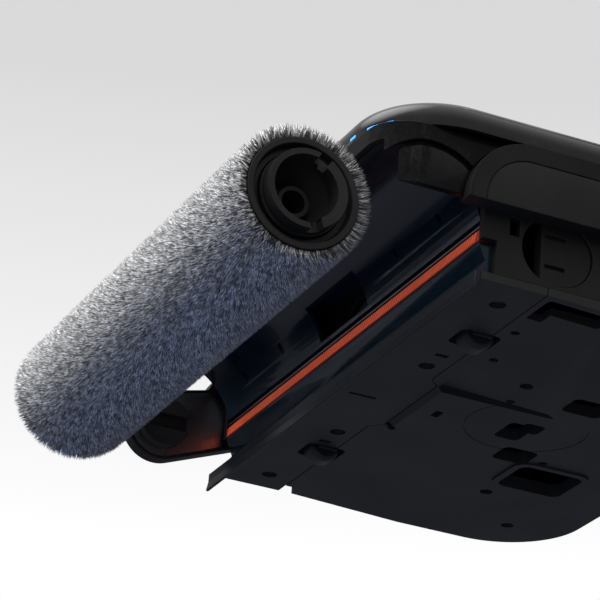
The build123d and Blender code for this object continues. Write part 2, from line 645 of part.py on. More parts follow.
def sole_edge(gap):
    """Rear edge of the front sole, with its jog."""
    right, left = PAD_HALVES
    slant = 5.0
    return [
        (BASE_HALF, SEAM_Y + gap),
        (right + slant, SEAM_Y + gap),
        (right, SEAM_Y + SEAM_STEP + gap),
        (left, SEAM_Y + SEAM_STEP + gap),
        (left - slant, SEAM_Y + gap),
        (-BASE_HALF, SEAM_Y + gap),
    ]


def caster_pocket(x):
    wide = CASTER_WIDTH + 2 * CASTER_ROOM + 2.6
    return pill_hole(x, CASTER_Y, wide, 2 * (CASTER_R + CASTER_ROOM), 3, 0, FLOOR_TOP + CUT)


def front_sole():
    front = [(-BASE_HALF, SOLE_FRONT), (BASE_HALF, SOLE_FRONT)]
    sole = plan_prism(front + sole_edge(0), SOLE_Z, FLOOR_TOP)
    for x, y in SOLE_SCREWS:
        sole -= rod_z(x, y, SOLE_SCREW_R + RUN_GAP, 0, FLOOR_TOP + CUT)
    for slot in SOLE_SLOTS:
        sole -= pill_hole(*slot, 0, FLOOR_TOP + CUT)
    return sole - caster_pocket(CASTER_X) - caster_pocket(-CASTER_X)


def side_ramp(inner, outer):
    """Wedge under one side of the base plate: level with the sole at the seam, with the pad further back."""
    front, end = SEAM_Y - CUT, SEAM_Y + RAMP_LENGTH
    wedge = [(front, 0), (front, SOLE_Z), (SEAM_Y + SEAM_STEP, SOLE_Z), (end, BASE_Z - 0.01), (end, 0)]
    return side_prism(wedge, min(inner, outer), max(inner, outer))


def base_plate():
    """Plate behind the sole, with a pad that stands lower in its middle, openings and a rimmed well."""
    plate = chassis_plan(0, SEAM_Y, BASE_Z, FLOOR_TOP)
    ahead = [(-BASE_HALF, SEAM_Y - CUT), (BASE_HALF, SEAM_Y - CUT)]
    plate -= plan_prism(ahead + sole_edge(SEAM_GAP), 0, FLOOR_TOP + CUT)
    right, left = PAD_HALVES
    plate -= side_ramp(right, BASE_HALF + CUT) + side_ramp(-BASE_HALF - CUT, left)
    pad_front = SEAM_Y + SEAM_STEP + SEAM_GAP
    pad_edge = pad_front + PAD_DROP
    nose = [(pad_front - CUT, 0), (pad_front - CUT, SOLE_Z), (pad_front, SOLE_Z)]
    plate -= side_prism(nose + [(pad_edge, BASE_Z), (pad_edge, 0)], left, right)
    groove_end = SEAM_Y + RAMP_LENGTH
    groove = [(right, pad_front + 1), (right + PAD_GROOVE, pad_front + 1)]
    groove += [(right + PAD_GROOVE, groove_end - 4), (right + 1, groove_end), (right, groove_end - 3)]
    plate -= plan_prism(groove, 0, SOLE_Z + 1)
    ring_x, ring_y, ring_r = RING_MARK
    ring = rod_z(ring_x, ring_y, ring_r, 0, BASE_Z + GAP) - rod_z(ring_x, ring_y, ring_r - GROOVE, 0, SOLE_Z)
    plate -= ring & block(left, right, 0, CHASSIS_REAR, 0, SOLE_Z)
    for x, y in PLATE_SCREWS:
        plate -= rod_z(x, y, PLATE_SCREW_R + RUN_GAP, 0, FLOOR_TOP + CUT)
    for x, y in PEG_HOLES:
        plate -= rod_z(x, y, PEG_R, 0, FLOOR_TOP + CUT)
    for slot in PLATE_SLOTS:
        plate -= pill_hole(*slot, 0, FLOOR_TOP + CUT)
    x, y, size_x, size_y, corner = WELL
    rim = 2 * WELL_RIM
    plate += pill_hole(x, y, size_x + rim, size_y + rim, corner + WELL_RIM, BASE_Z - WELL_PROUD, FLOOR_TOP)
    plate -= pill_hole(*WELL, 0, FLOOR_TOP + CUT)
    return plate - caster_pocket(CASTER_X) - caster_pocket(-CASTER_X)


def base_screws():
    low, high = SOLE_Z + SCREW_RECESS, FLOOR_TOP + 9
    pieces = [rod_z(x, y, SOLE_SCREW_R, low, high) for x, y in SOLE_SCREWS]
    return pieces + [rod_z(x, y, PLATE_SCREW_R, low, high) for x, y in PLATE_SCREWS]


def squeegee_blade():
    """Rubber lip along the sole's front edge, longer than the sole at its right end."""
    y = SOLE_FRONT
    back = y - 2.4
    tip = [(back - 0.8, LIP_LOW + 0.2), (back + 0.4, LIP_LOW), (y - 0.6, SOLE_Z - 1.4)]
    section = tip + [(y, SOLE_Z), (y, FLOOR_TOP), (back, FLOOR_TOP), (back, SOLE_Z - 0.6)]
    return side_prism(section, -BASE_HALF - LIP_OVERHANG, BASE_HALF)


def scraper_holder():
    """Glossy carrier of the scraper strip, standing on the front sole."""
    y = STRIP_Y
    bed = y + STRIP_DEPTH
    top = TRIM_TOP + 1.5
    foot = SOLE_FRONT + 0.4
    section = [
        (foot, FLOOR_TOP),
        (CHASSIS_FRONT, FLOOR_TOP),
        (CHASSIS_FRONT, top),
        (bed, top),
        (bed, TRIM_LOW),
        (y + 1.0, TRIM_LOW),
        (y + 1.0, STRIP_TOP),
        (bed, STRIP_TOP),
        (bed, STRIP_LOW),
        (y + 0.3, STRIP_LOW),
        (y + 0.3, STRIP_LOW - 1.2),
        (y + 3.2, FLOOR_TOP + 6),
        (foot, FLOOR_TOP + 2),
    ]
    return side_prism(section, -WALL_IN, WALL_IN)


def scraper_strip():
    return block(-WALL_IN, WALL_IN, STRIP_Y, STRIP_Y + STRIP_DEPTH, STRIP_LOW, STRIP_TOP)


def scraper_trim():
    return block(-WALL_IN, WALL_IN, STRIP_Y + GAP, STRIP_Y + STRIP_DEPTH, TRIM_LOW, TRIM_TOP)


def nozzle_places():
    return [NOZZLE_PITCH * (k - (NOZZLE_COUNT - 1) / 2) for k in range(NOZZLE_COUNT)]


def spray_y():
    return SEAT_Y + ROLLER_R * 0.87


def chamber_liner():
    """Glossy shroud over and behind the seated roller, with the suction mouth and nozzle holes."""
    low = TRIM_TOP + GAP + 1.5
    outer = LINER_R + LINER_WALL
    arc = tube_x(SEAT_Y, AXIS_Z, outer, LINER_R, -LINER_HALF, LINER_HALF)
    arc = arc & block(-LINER_HALF, LINER_HALF, SEAT_Y, SEAT_Y + outer, low, AXIS_Z + outer)
    front = HEAD_FRONT + SKIRT_WALL
    ceiling = block(-LINER_HALF, LINER_HALF, front, SEAT_Y, CEILING, CEILING + LINER_WALL)
    ceiling = ceiling & skirt_band(SKIRT_WALL + SEAM, CEILING - CUT, CEILING + LINER_WALL + CUT)
    top = CEILING + 2 * LINER_WALL
    flange = block(-LINER_HALF, LINER_HALF, SEAT_Y, CHASSIS_FRONT, CEILING, top)
    liner = arc + ceiling + flange
    liner -= block(-MOUTH_HALF, MOUTH_HALF, SEAT_Y, CHASSIS_FRONT, low + 1.5, DUCT_Z + DUCT_R - WALL)
    for x in nozzle_places():
        liner -= rod_z(x, spray_y(), NOZZLE_R + GAP, AXIS_Z, top + CUT)
    return liner


def spray_bar():
    half, deep = SPRAY_BAR
    low = CEILING + 2 * LINER_WALL
    bar = block(-half, half, spray_y() - deep / 2, spray_y() + deep / 2, low, SHELL_LOW + 2)
    for x in nozzle_places():
        bar += rod_z(x, spray_y(), NOZZLE_R, low - 3.5, low + CUT)
    return bar


def suction_duct():
    y0, y1 = CHASSIS_FRONT + RIB, CHASSIS_REAR - RIB
    return rod_y(0, DUCT_Z, DUCT_R, y0, y1) - rod_y(0, DUCT_Z, DUCT_R - WALL, y0 - CUT, y1 + CUT)


# ---- Casters, rear wheels and brackets --------------------------------------------------------
def caster_wheel(x):
    half = CASTER_WIDTH / 2
    wheel = rod_x(CASTER_Y, CASTER_Z, CASTER_R, x - half, x + half)
    wheel = fillet(wheel.edges(), 2.2)
    return wheel - rod_x(CASTER_Y, CASTER_Z, CASTER_PIN_R + RUN_GAP, x - half - CUT, x + half + CUT)


def caster_axles():
    """A pin for each caster, in a cradle that stands on the sole's upper side."""
    pieces = []
    half = CASTER_WIDTH / 2
    ear = half + CASTER_ROOM
    reach = CASTER_R + CASTER_ROOM
    top = CASTER_Z + reach
    for x in (CASTER_X, -CASTER_X):
        side, length = ear + CRADLE_WALL, reach + CRADLE_WALL
        cradle = block(x - side, x + side, CASTER_Y - length, CASTER_Y + length, FLOOR_TOP, top + CRADLE_WALL)
        cradle -= block(x - ear, x + ear, CASTER_Y - reach, CASTER_Y + reach, FLOOR_TOP - CUT, top)
        for x0, x1 in ((x + ear, x + ear + 1.1), (x - ear - 1.1, x - ear)):
            cradle += block(x0, x1, CASTER_Y - 4, CASTER_Y + 4, SOLE_Z - 1, FLOOR_TOP)
        side = ear + 1.1
        pieces.append(cradle + rod_x(CASTER_Y, CASTER_Z, CASTER_PIN_R, x - side, x + side))
    return pieces


def rear_wheel(side):
    hub_r = WHEEL_R - TYRE_DEPTH
    x0, x1 = WHEEL_X, WHEEL_X + WHEEL_WIDTH
    wheel = rod_x(AXLE_Y, WHEEL_R, hub_r, x0, x1)
    for face in (x0 - CUT, x1 - 5):
        wheel -= tube_x(AXLE_Y, WHEEL_R, hub_r - 3, WHEEL_HUB_R, face, face + 5 + CUT)
    middle = (hub_r - 3 + WHEEL_HUB_R) / 2
    for k in range(SPOKES):
        spot = Pos(0, AXLE_Y, WHEEL_R) * Rot(360 / SPOKES * k, 0, 0)
        wheel -= spot * rod_x(middle, 0, SPOKE_HOLE_R, x0 - CUT, x1 + CUT)
    wheel -= rod_x(AXLE_Y, WHEEL_R, AXLE_R + RUN_GAP, x0 - CUT, x1 + CUT)
    return wheel if side > 0 else mirrored(wheel)


def rear_tyre(side):
    tyre = rod_x(AXLE_Y, WHEEL_R, WHEEL_R, WHEEL_X, WHEEL_X + WHEEL_WIDTH)
    tyre = fillet(tyre.edges(), 2.5)
    tyre -= rod_x(AXLE_Y, WHEEL_R, WHEEL_R - TYRE_DEPTH, WHEEL_X - CUT, WHEEL_X + WHEEL_WIDTH + CUT)
    return tyre if side > 0 else mirrored(tyre)


def rear_axle():
    end = WHEEL_X + WHEEL_WIDTH + GAP
    axle = rod_x(AXLE_Y, WHEEL_R, AXLE_R, -end, end)
    for x0, x1 in ((end, end + 3), (-end - 3, -end)):
        axle += rod_x(AXLE_Y, WHEEL_R, AXLE_HEAD_R, x0, x1)
    return axle


def rear_brackets():
    """The two arms behind the head that carry the rear axle and the neck."""
    y0, y1 = CHASSIS_REAR, AXLE_Y
    outline = [
        (y0, FLOOR_TOP),
        (y1 - 30, FLOOR_TOP + 2),
        (y1 + 6, WHEEL_R - 14),
        (y1 + 16, WHEEL_R - 4),
        (y1 + 16, PIVOT_Z + 6),
        (y1 + 7, PIVOT_Z + 15),
        (y1 - 12, PIVOT_Z + 17),
        (y0, SHELL_LOW - 1),
    ]
    half = BRACKET_THICK / 2
    arm = side_prism(outline, BRACKET_X - half, BRACKET_X + half)
    arm = chamfer(arm.faces().sort_by(Axis.X)[-1].edges().filter_by(Axis.X, reverse=True), 1)
    for z, radius in ((WHEEL_R, AXLE_R), (PIVOT_Z, PIN_R)):
        arm -= rod_x(AXLE_Y, z, radius + RUN_GAP, 0, BASE_HALF)
    return [arm, mirrored(arm)]


def neck_pins():
    half = BRACKET_THICK / 2
    pin = rod_x(AXLE_Y, PIVOT_Z, PIN_R, BRACKET_X - half - PIN_REACH, BRACKET_X + half)
    return [pin, mirrored(pin)]


def dock_contact_block():
    """Carries the charging contacts: a block behind the chassis with two round contact pits."""
    rear = CHASSIS_REAR + 34
    box = block(-24, 24, CHASSIS_REAR, rear, FLOOR_TOP + 1, FLOOR_TOP + 20)
    box = fillet(box.edges().filter_by(Axis.Y), 3)
    for x in (-10, 10):
        box -= rod_y(x, FLOOR_TOP + 10, 3.2, rear - 1.5, rear + CUT)
    return box


# ---- Neck -------------------------------------------------------------------------------------
def neck_yoke():
    inside = BRACKET_X - BRACKET_THICK / 2 - GAP
    barrel = rod_x(AXLE_Y, PIVOT_Z, YOKE_R, -inside, inside)
    collar_low = COLUMN_LOW - COLLAR_DEPTH
    outline = [(-30, PIVOT_Z), (30, PIVOT_Z), (26, collar_low), (-26, collar_low)]
    stem = front_prism(outline, COLUMN_Y - YOKE_R, AXLE_Y + 9)
    collar = rod_z(0, COLUMN_Y, COLLAR_R, collar_low, COLUMN_LOW - GAP)
    collar = chamfer(collar.faces().sort_by(Axis.Z)[0].edges(), 5)
    post = rod_z(0, COLUMN_Y, POST_R, COLUMN_LOW - 1, COLUMN_LOW + POST_LENGTH)
    yoke = barrel + stem + collar + post
    yoke -= rod_z(0, COLUMN_Y, POST_R - POST_WALL, PIVOT_Z + 2 * YOKE_R, COLUMN_LOW + POST_LENGTH + CUT)
    bore = rod_x(AXLE_Y, PIVOT_Z, PIN_R + RUN_GAP, inside - PIN_REACH - 1, inside + CUT)
    return yoke - bore - mirrored(bore)


# ---- Upright body -----------------------------------------------------------------------------
def column(inset, z0, z1):
    corner = COLUMN_CORNER - inset
    front, rear = COLUMN_FRONT + inset, COLUMN_REAR - inset
    return rounded_plan(COLUMN_HALF - inset, front, rear, corner, corner, z0, z1)


def ahead_of(rear, z0, z1):
    """All of the column's room in front of a plane."""
    return block(-COLUMN_HALF - CUT, COLUMN_HALF + CUT, COLUMN_FRONT - 9, rear, z0, z1)


def front_part(inset, rear, z0, z1, rear_corner=4.0):
    """What fills the column's front as far back as rear."""
    corner = COLUMN_CORNER - inset
    return rounded_plan(COLUMN_HALF - inset, COLUMN_FRONT + inset, rear, corner, rear_corner, z0, z1)


def spine_housing():
    """The upright's backbone: a foot, a bay for the motor, a crown, and a hollow spine behind the tanks."""
    body = column(0, COLUMN_LOW, COLUMN_TOP)
    body = fillet(body.faces().sort_by(Axis.Z)[-1].edges(), 14)
    body = chamfer(body.faces().sort_by(Axis.Z)[0].edges(), 6)
    body -= ahead_of(SPINE_FRONT, FOOT_TOP, BAY_LOW) + ahead_of(SPINE_FRONT, BAY_TOP, CLEAN_TOP)
    body -= ahead_of(COVER_REAR, BAY_LOW + WALL, BAY_TOP - WALL)
    body -= column(WALL, FOOT_FLOOR, FOOT_TOP - WALL)
    body -= column(WALL, BAY_LOW + WALL, BAY_TOP - WALL) & ahead_of(SPINE_FRONT, BAY_LOW, BAY_TOP)
    spine_room = block(-COLUMN_HALF, COLUMN_HALF, SPINE_FRONT + WALL, COLUMN_REAR, FOOT_TOP, CLEAN_TOP)
    body -= column(WALL, FOOT_TOP + WALL, CLEAN_TOP) & spine_room
    body -= rod_z(0, COLUMN_Y, POST_R + RUN_GAP, COLUMN_LOW - CUT, COLUMN_LOW + POST_LENGTH + GAP)
    body -= rod_z(0, TUBE_Y, TUBE_R + RUN_GAP, COLUMN_TOP - TUBE_SOCKET, COLUMN_TOP + CUT)
    return body - rod_z(0, DISPLAY_Y, DISPLAY_R + RUN_GAP, COLUMN_TOP - DISPLAY_SINK, COLUMN_TOP + CUT)


def motor_cover():
    low, high = BAY_LOW + WALL + SEAM, BAY_TOP - WALL - SEAM
    cover = column(0, low, high) - column(WALL, low - CUT, high + CUT)
    cover = cover & ahead_of(COVER_REAR - SEAM, low, high)
    wide, tall = VENT_SIZE
    for k in range(VENTS):
        z = high - 22 - VENT_PITCH * k
        cover -= block(-wide / 2, wide / 2, COLUMN_FRONT - CUT, COLUMN_FRONT + 9, z, z + tall)
    return cover - rod_y(0, LATCH_Z, LATCH_R + GAP, COLUMN_FRONT - CUT, COLUMN_FRONT + 2 * WALL)


def tank_latch():
    button = rod_y(0, LATCH_Z, LATCH_R, COLUMN_FRONT - LATCH_PROUD, COLUMN_FRONT + WALL + 2)
    return fillet(button.faces().sort_by(Axis.Y)[0].edges(), 1)


def suction_motor():
    can = rod_z(0, BAY_Y, SUCTION_R, SUCTION_LOW, SUCTION_TOP)
    can = chamfer(can.edges(), 3)
    return can - rod_z(0, BAY_Y, SHAFT_R + RUN_GAP, SUCTION_TOP - 24, SUCTION_TOP + CUT)


def fan_impeller():
    low = SUCTION_TOP + 2
    fan = rod_z(0, BAY_Y, FAN_R, low, low + 2.4) + rod_z(0, BAY_Y, WHEEL_HUB_R - 0.5, low, low + 16)
    fan += rod_z(0, BAY_Y, SHAFT_R, SUCTION_TOP - 23, low + CUT)
    for k in range(FAN_BLADES):
        blade = Pos(15.5, 2, low + 7) * Rot(0, 0, 28) * Box(21, 1.4, 12)
        blade = blade & rod_z(0, 0, FAN_R - 1, low, low + 13)
        fan += Pos(0, BAY_Y, 0) * Rot(0, 0, 360 / FAN_BLADES * k) * blade
    return fan


def battery_pack():
    """Lies flat on the spine's rear wall, between its rounded corners."""
    half = COLUMN_HALF - COLUMN_CORNER - 4
    rear = COLUMN_REAR - WALL
    return block(-half, half, rear - 32, rear, BAY_TOP + 30, BAY_TOP + 170)


def control_board():
    front = SPINE_FRONT + WALL
    board = block(-26, 26, front, front + 1.6, BAY_LOW + 12, BAY_TOP - 12)
    for k in range(4):
        x = 10 * k - 18
        board += block(x, x + 7, front + 1.6, front + 5, BAY_LOW + 40, BAY_LOW + 55)
    return board


def water_pump():
    pump = block(-44, -14, COLUMN_Y - 20, COLUMN_Y + 14, FOOT_FLOOR, FOOT_FLOOR + 14)
    return pump + rod_z(-29, COLUMN_Y - 3, 9, FOOT_FLOOR + 13, FOOT_FLOOR + 17)


def dirty_tank():
    low = FOOT_TOP + TANK_GAP
    tank = front_part(0, TANK_REAR, low, LID_LOW)
    tank = chamfer(tank.faces().sort_by(Axis.Z)[0].edges(), 2)
    return tank - front_part(TANK_WALL, TANK_REAR - TANK_WALL, low + TANK_WALL, LID_LOW + CUT, 3.0)


def dirty_tank_lid():
    """Tray-shaped lid with a lip inside the tank's mouth and a finger pull across its front."""
    high = LID_LOW + LID_HEIGHT
    lid = front_part(0, TANK_REAR, LID_LOW, high)
    lid -= front_part(WALL, TANK_REAR - WALL, LID_LOW + 4, high + CUT, 3.0)
    lip_in, hole_in = TANK_WALL + 0.1, 2 * TANK_WALL
    lip = front_part(lip_in, TANK_REAR - lip_in, LID_LOW - 5, LID_LOW, 3.0)
    lip -= front_part(hole_in, TANK_REAR - hole_in, LID_LOW - 5 - CUT, LID_LOW + CUT, 3.0)
    pull = block(-24, 24, COLUMN_FRONT - CUT, COLUMN_FRONT + WALL + 1, LID_LOW + 8, LID_LOW + 17)
    return lid + lip - fillet(pull.edges().filter_by(Axis.Y), 3)


def filter_cartridge():
    low = LID_LOW + 4
    half = 36
    body = block(-half, half, COLUMN_FRONT + 12, TANK_REAR - 8, low, low + 15)
    body = fillet(body.edges().filter_by(Axis.Z), 6)
    for k in range(10):
        x = 6 - half + 6.5 * k
        body -= block(x, x + 2.2, COLUMN_FRONT + 18, TANK_REAR - 14, low + 9, low + 20)
    return body


def clean_tank():
    low, high = BAY_TOP + TANK_GAP, CLEAN_TOP - TANK_GAP
    tank = front_part(0, TANK_REAR, low, high)
    tank = chamfer(tank.faces().sort_by(Axis.Z)[0].edges(), 2)
    tank -= front_part(TANK_WALL, TANK_REAR - TANK_WALL, low + TANK_WALL, high - TANK_WALL, 3.0)
    half = FLAP_SIZE[0] / 2 - 5
    mouth = block(-half, half, COLUMN_FRONT - CUT, COLUMN_FRONT + 4, FLAP_LOW + 5, FLAP_TOP - 4)
    return tank - fillet(mouth.edges().filter_by(Axis.Y), 6)


def filler_flap():
    """Rubber-sealed flap over the clean tank's mouth; it swings up about its top edge."""
    wide, _, thick = FLAP_SIZE
    rear = COLUMN_FRONT - FLAP_GAP
    flap = block(-wide / 2, wide / 2, rear - thick, rear, FLAP_LOW, FLAP_TOP)
    return fillet(flap.edges().filter_by(Axis.Y), 4)


def display_lens():
    lens = rod_z(0, DISPLAY_Y, DISPLAY_R, COLUMN_TOP - DISPLAY_SINK, COLUMN_TOP + 0.8)
    return chamfer(lens.faces().sort_by(Axis.Z)[-1].edges(), 0.6)


# ---- Handle -----------------------------------------------------------------------------------
def handle_tube():
    low, high = COLUMN_TOP - TUBE_SOCKET, GRIP_LOW + GRIP_SOCKET
    return rod_z(0, TUBE_Y, TUBE_R, low, high) - rod_z(0, TUBE_Y, TUBE_R - TUBE_SKIN, low - CUT, high + CUT)


def handle_grip():
    """A closed loop handle round a hand opening, socketed on the tube."""
    loop = block(-GRIP_HALF, GRIP_HALF, GRIP_FRONT, GRIP_REAR, GRIP_LOW + 30, HANDLE_TOP)
    loop = fillet(loop.edges().filter_by(Axis.X), 30)
    sides = loop.faces().group_by(Axis.X)
    loop = fillet(sides[0].edges() + sides[-1].edges(), 4)
    front, rear = GRIP_FRONT + GRIP_BAR, GRIP_REAR - GRIP_BAR
    hole = block(-2 * GRIP_HALF, 2 * GRIP_HALF, front, rear, GRIP_LOW + 56, HANDLE_TOP - GRIP_BAR)
    loop -= fillet(hole.edges().filter_by(Axis.X), 17)
    grip = loop + rod_z(0, TUBE_Y, TUBE_R + 3, GRIP_LOW, GRIP_LOW + 46)
    grip -= rod_z(0, TUBE_Y, TUBE_R + RUN_GAP, GRIP_LOW - CUT, GRIP_LOW + GRIP_SOCKET)
    bottom = GRIP_REAR - BUTTON_DEPTH - BUTTON_TRAVEL
    for rise in BUTTON_RISES:
        grip -= rod_y(0, GRIP_LOW + rise, BUTTON_R + GAP, bottom, GRIP_REAR + CUT)
    return grip


def button(rise):
    knob = rod_y(0, GRIP_LOW + rise, BUTTON_R, GRIP_REAR - BUTTON_DEPTH, GRIP_REAR + BUTTON_PROUD)
    return fillet(knob.faces().sort_by(Axis.Y)[-1].edges(), 0.9)


# ---- Export -----------------------------------------------------------------------------------
WHOLE = [
    roller_pile,
    roller_tube,
    roller_end_cap,
    roller_bearing_insert,
    roller_drive_plug,
    drive_dog,
    drive_pulley,
    motor_pulley,
    roller_motor,
    drive_belt,
    gearbox_plate,
    belt_cover,
    top_shell,
    led_strip,
    visor_skirt,
    cheek_plate,
    side_panel_left,
    side_panel_right,
    chassis,
    side_plugs,
    front_sole,
    base_plate,
    base_screws,
    squeegee_blade,
    scraper_holder,
    scraper_strip,
    scraper_trim,
    chamber_liner,
    spray_bar,
    suction_duct,
    caster_axles,
    rear_axle,
    rear_brackets,
    neck_pins,
    dock_contact_block,
    neck_yoke,
    spine_housing,
    motor_cover,
    tank_latch,
    suction_motor,
    fan_impeller,
    battery_pack,
    control_board,
    water_pump,
    dirty_tank,
    dirty_tank_lid,
    filter_cartridge,
    clean_tank,
    filler_flap,
    display_lens,
    handle_tube,
    handle_grip,
]


def export(name, made):
    solids = []
    for piece in made if isinstance(made, list) else [made]:
        solids += (Pos(0, -MID_Y, 0) * piece).solids()
    export_step(solids[0] if len(solids) == 1 else Compound(solids), f"parts/{name}.step")


os.makedirs("parts", exist_ok=True)
for make in WHOLE:
    export(make.__name__, make())
for side, sign in (("left", 1), ("right", -1)):
    export(f"caster_wheel_{side}", caster_wheel(sign * CASTER_X))
    export(f"rear_wheel_{side}", rear_wheel(sign))
    export(f"rear_tyre_{side}", rear_tyre(sign))
export("power_button", button(BUTTON_RISES[0]))
export("mode_button", button(BUTTON_RISES[1]))
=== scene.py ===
"""Looks of an upright wet and dry floor washer with its cleaning roller taken out."""
import json
import math
import random

import bmesh
import bpy
from mathutils import Matrix, Vector


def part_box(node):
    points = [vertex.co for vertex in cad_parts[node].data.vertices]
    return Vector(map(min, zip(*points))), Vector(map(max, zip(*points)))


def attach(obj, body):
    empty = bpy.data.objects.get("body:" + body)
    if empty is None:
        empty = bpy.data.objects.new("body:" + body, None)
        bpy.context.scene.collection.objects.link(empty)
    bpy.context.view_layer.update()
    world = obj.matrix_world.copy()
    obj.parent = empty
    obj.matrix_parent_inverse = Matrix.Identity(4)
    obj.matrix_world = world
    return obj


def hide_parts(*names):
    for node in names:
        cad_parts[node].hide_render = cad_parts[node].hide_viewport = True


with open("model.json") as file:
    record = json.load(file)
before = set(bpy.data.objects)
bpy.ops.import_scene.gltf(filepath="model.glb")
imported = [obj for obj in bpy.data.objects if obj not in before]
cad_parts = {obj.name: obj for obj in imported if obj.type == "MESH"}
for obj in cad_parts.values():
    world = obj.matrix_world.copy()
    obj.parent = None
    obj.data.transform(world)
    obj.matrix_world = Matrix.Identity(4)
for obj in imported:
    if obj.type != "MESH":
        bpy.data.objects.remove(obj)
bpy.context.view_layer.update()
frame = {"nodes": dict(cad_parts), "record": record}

# ---- Measures taken from the frame --------------------------------------------------------------
pile_low, pile_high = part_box("roller_pile")
ROLLER_AXIS = (pile_low + pile_high) / 2
ROLLER_R = (pile_high.z - pile_low.z) / 2
CORE_R = (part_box("roller_tube")[1].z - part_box("roller_tube")[0].z) / 2
ROLLER_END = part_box("roller_end_cap")[1].x
BODY_OF = {node: body for body, nodes in frame["record"]["behaviour"]["bodies"].items() for node in nodes}
SLOT_OF = {part["node"]: part["material_slot"] for part in frame["record"]["subparts"]}

# ---- Camera -------------------------------------------------------------------------------------
CAMERA_PLACE = Vector((1.0842, ROLLER_AXIS.y - 0.4087, -0.4883))
CAMERA_AZIMUTH = math.radians(67.05)
CAMERA_TILT = math.radians(24.25)
CAMERA_ROLL = math.radians(4.30)
CAMERA_LENS = 195.03
SENSOR_WIDTH = 36.0


def add_camera():
    """A long lens below the floor, off the head's +X side, looking up at the sole."""
    data = bpy.data.cameras.new("camera")
    data.lens = CAMERA_LENS
    data.sensor_width = SENSOR_WIDTH
    data.clip_start = 0.05
    data.clip_end = 30.0
    camera = bpy.data.objects.new("camera", data)
    turn = Matrix.Rotation(CAMERA_AZIMUTH, 4, "Z") @ Matrix.Rotation(math.pi / 2 + CAMERA_TILT, 4, "X")
    turn = turn @ Matrix.Rotation(CAMERA_ROLL, 4, "Z")
    camera.matrix_world = Matrix.Translation(CAMERA_PLACE) @ turn
    bpy.context.scene.collection.objects.link(camera)
    bpy.context.scene.camera = camera


# ---- Node helpers -------------------------------------------------------------------------------
def add_node(tree, kind, **sockets):
    """A node with its sockets set or linked by name; in_0, in_1 and so on pick one by its number."""
    node = tree.nodes.new(kind)
    for name, value in sockets.items():
        if name.startswith("in_"):
            socket = node.inputs[int(name[3:])]
        else:
            socket = node.inputs[name.replace("_", " ")]
        if isinstance(value, bpy.types.NodeSocket):
            tree.links.new(value, socket)
        else:
            socket.default_value = value
    return node


def math_node(tree, operation, first, second=0.0, clamp=False):
    """One operation on two numbers or sockets."""
    node = add_node(tree, "ShaderNodeMath", in_0=first, in_1=second)
    node.operation = operation
    node.use_clamp = clamp
    return node.outputs[0]


def ramp(tree, value, low, high, out_low=0.0, out_high=1.0):
    """A value carried from one range to another and held at both ends."""
    node = add_node(tree, "ShaderNodeMapRange", Value=value)
    node.inputs["From Min"].default_value = low
    node.inputs["From Max"].default_value = high
    node.inputs["To Min"].default_value = out_low
    node.inputs["To Max"].default_value = out_high
    return node.outputs["Result"]


def blend_colour(tree, mask, first, second):
    """Two colours mixed by a mask."""
    node = tree.nodes.new("ShaderNodeMix")
    node.data_type = "RGBA"
    for socket, value in ((node.inputs["Factor"], mask), (node.inputs[6], first), (node.inputs[7], second)):
        if isinstance(value, bpy.types.NodeSocket):
            tree.links.new(value, socket)
        else:
            socket.default_value = value
    return node.outputs[2]


def noise(tree, place, scale, detail=3.0, rough=0.5):
    """Noise over a piece, as one value."""
    node = add_node(tree, "ShaderNodeTexNoise", Vector=place, Scale=scale, Detail=detail, Roughness=rough)
    return node.outputs["Fac"]


def new_group(name, inputs, outputs):
    """An empty node group with number inputs and the given outputs."""
    tree = bpy.data.node_groups.new(name, "ShaderNodeTree")
    for socket, value in inputs.items():
        made = tree.interface.new_socket(socket, in_out="INPUT", socket_type="NodeSocketFloat")
        made.default_value = value
    for socket, kind in outputs.items():
        tree.interface.new_socket(socket, in_out="OUTPUT", socket_type=kind)
    return tree, tree.nodes.new("NodeGroupInput"), tree.nodes.new("NodeGroupOutput")


def grain_group():
    """Moulded grain: a height for bump, and a mask that drifts slowly over the piece."""
    inputs = {"Scale": 900.0, "Drift": 25.0}
    outputs = {"Height": "NodeSocketFloat", "Mottle": "NodeSocketFloat"}
    tree, given, out = new_group("moulded_grain", inputs, outputs)
    place = add_node(tree, "ShaderNodeTexCoord").outputs["Object"]
    fine = noise(tree, place, given.outputs["Scale"], 2.0, 0.6)
    cells = add_node(tree, "ShaderNodeTexVoronoi", Vector=place, Scale=given.outputs["Scale"])
    height = math_node(tree, "MULTIPLY", fine, cells.outputs["Distance"])
    slow = noise(tree, place, given.outputs["Drift"], 4.0, 0.55)
    tree.links.new(height, out.inputs["Height"])
    tree.links.new(ramp(tree, slow, 0.35, 0.65), out.inputs["Mottle"])
    return tree


def wear_group():
    """Rubbed edges: a mask along sharp edges, broken up by noise."""
    inputs = {"Width": 0.0008, "Amount": 0.5}
    tree, given, out = new_group("edge_wear", inputs, {"Mask": "NodeSocketFloat"})
    place = add_node(tree, "ShaderNodeTexCoord").outputs["Object"]
    soft = add_node(tree, "ShaderNodeBevel", Radius=given.outputs["Width"])
    soft.samples = 4
    hard = add_node(tree, "ShaderNodeNewGeometry")
    product = tree.nodes.new("ShaderNodeVectorMath")
    product.operation = "DOT_PRODUCT"
    tree.links.new(soft.outputs["Normal"], product.inputs[0])
    tree.links.new(hard.outputs["Normal"], product.inputs[1])
    edge = ramp(tree, product.outputs["Value"], 0.97, 0.75)
    patchy = ramp(tree, noise(tree, place, 160.0, 4.0, 0.6), 0.42, 0.62)
    mask = math_node(tree, "MULTIPLY", edge, patchy)
    mask = math_node(tree, "MULTIPLY", mask, given.outputs["Amount"], clamp=True)
    tree.links.new(mask, out.inputs["Mask"])
    return tree


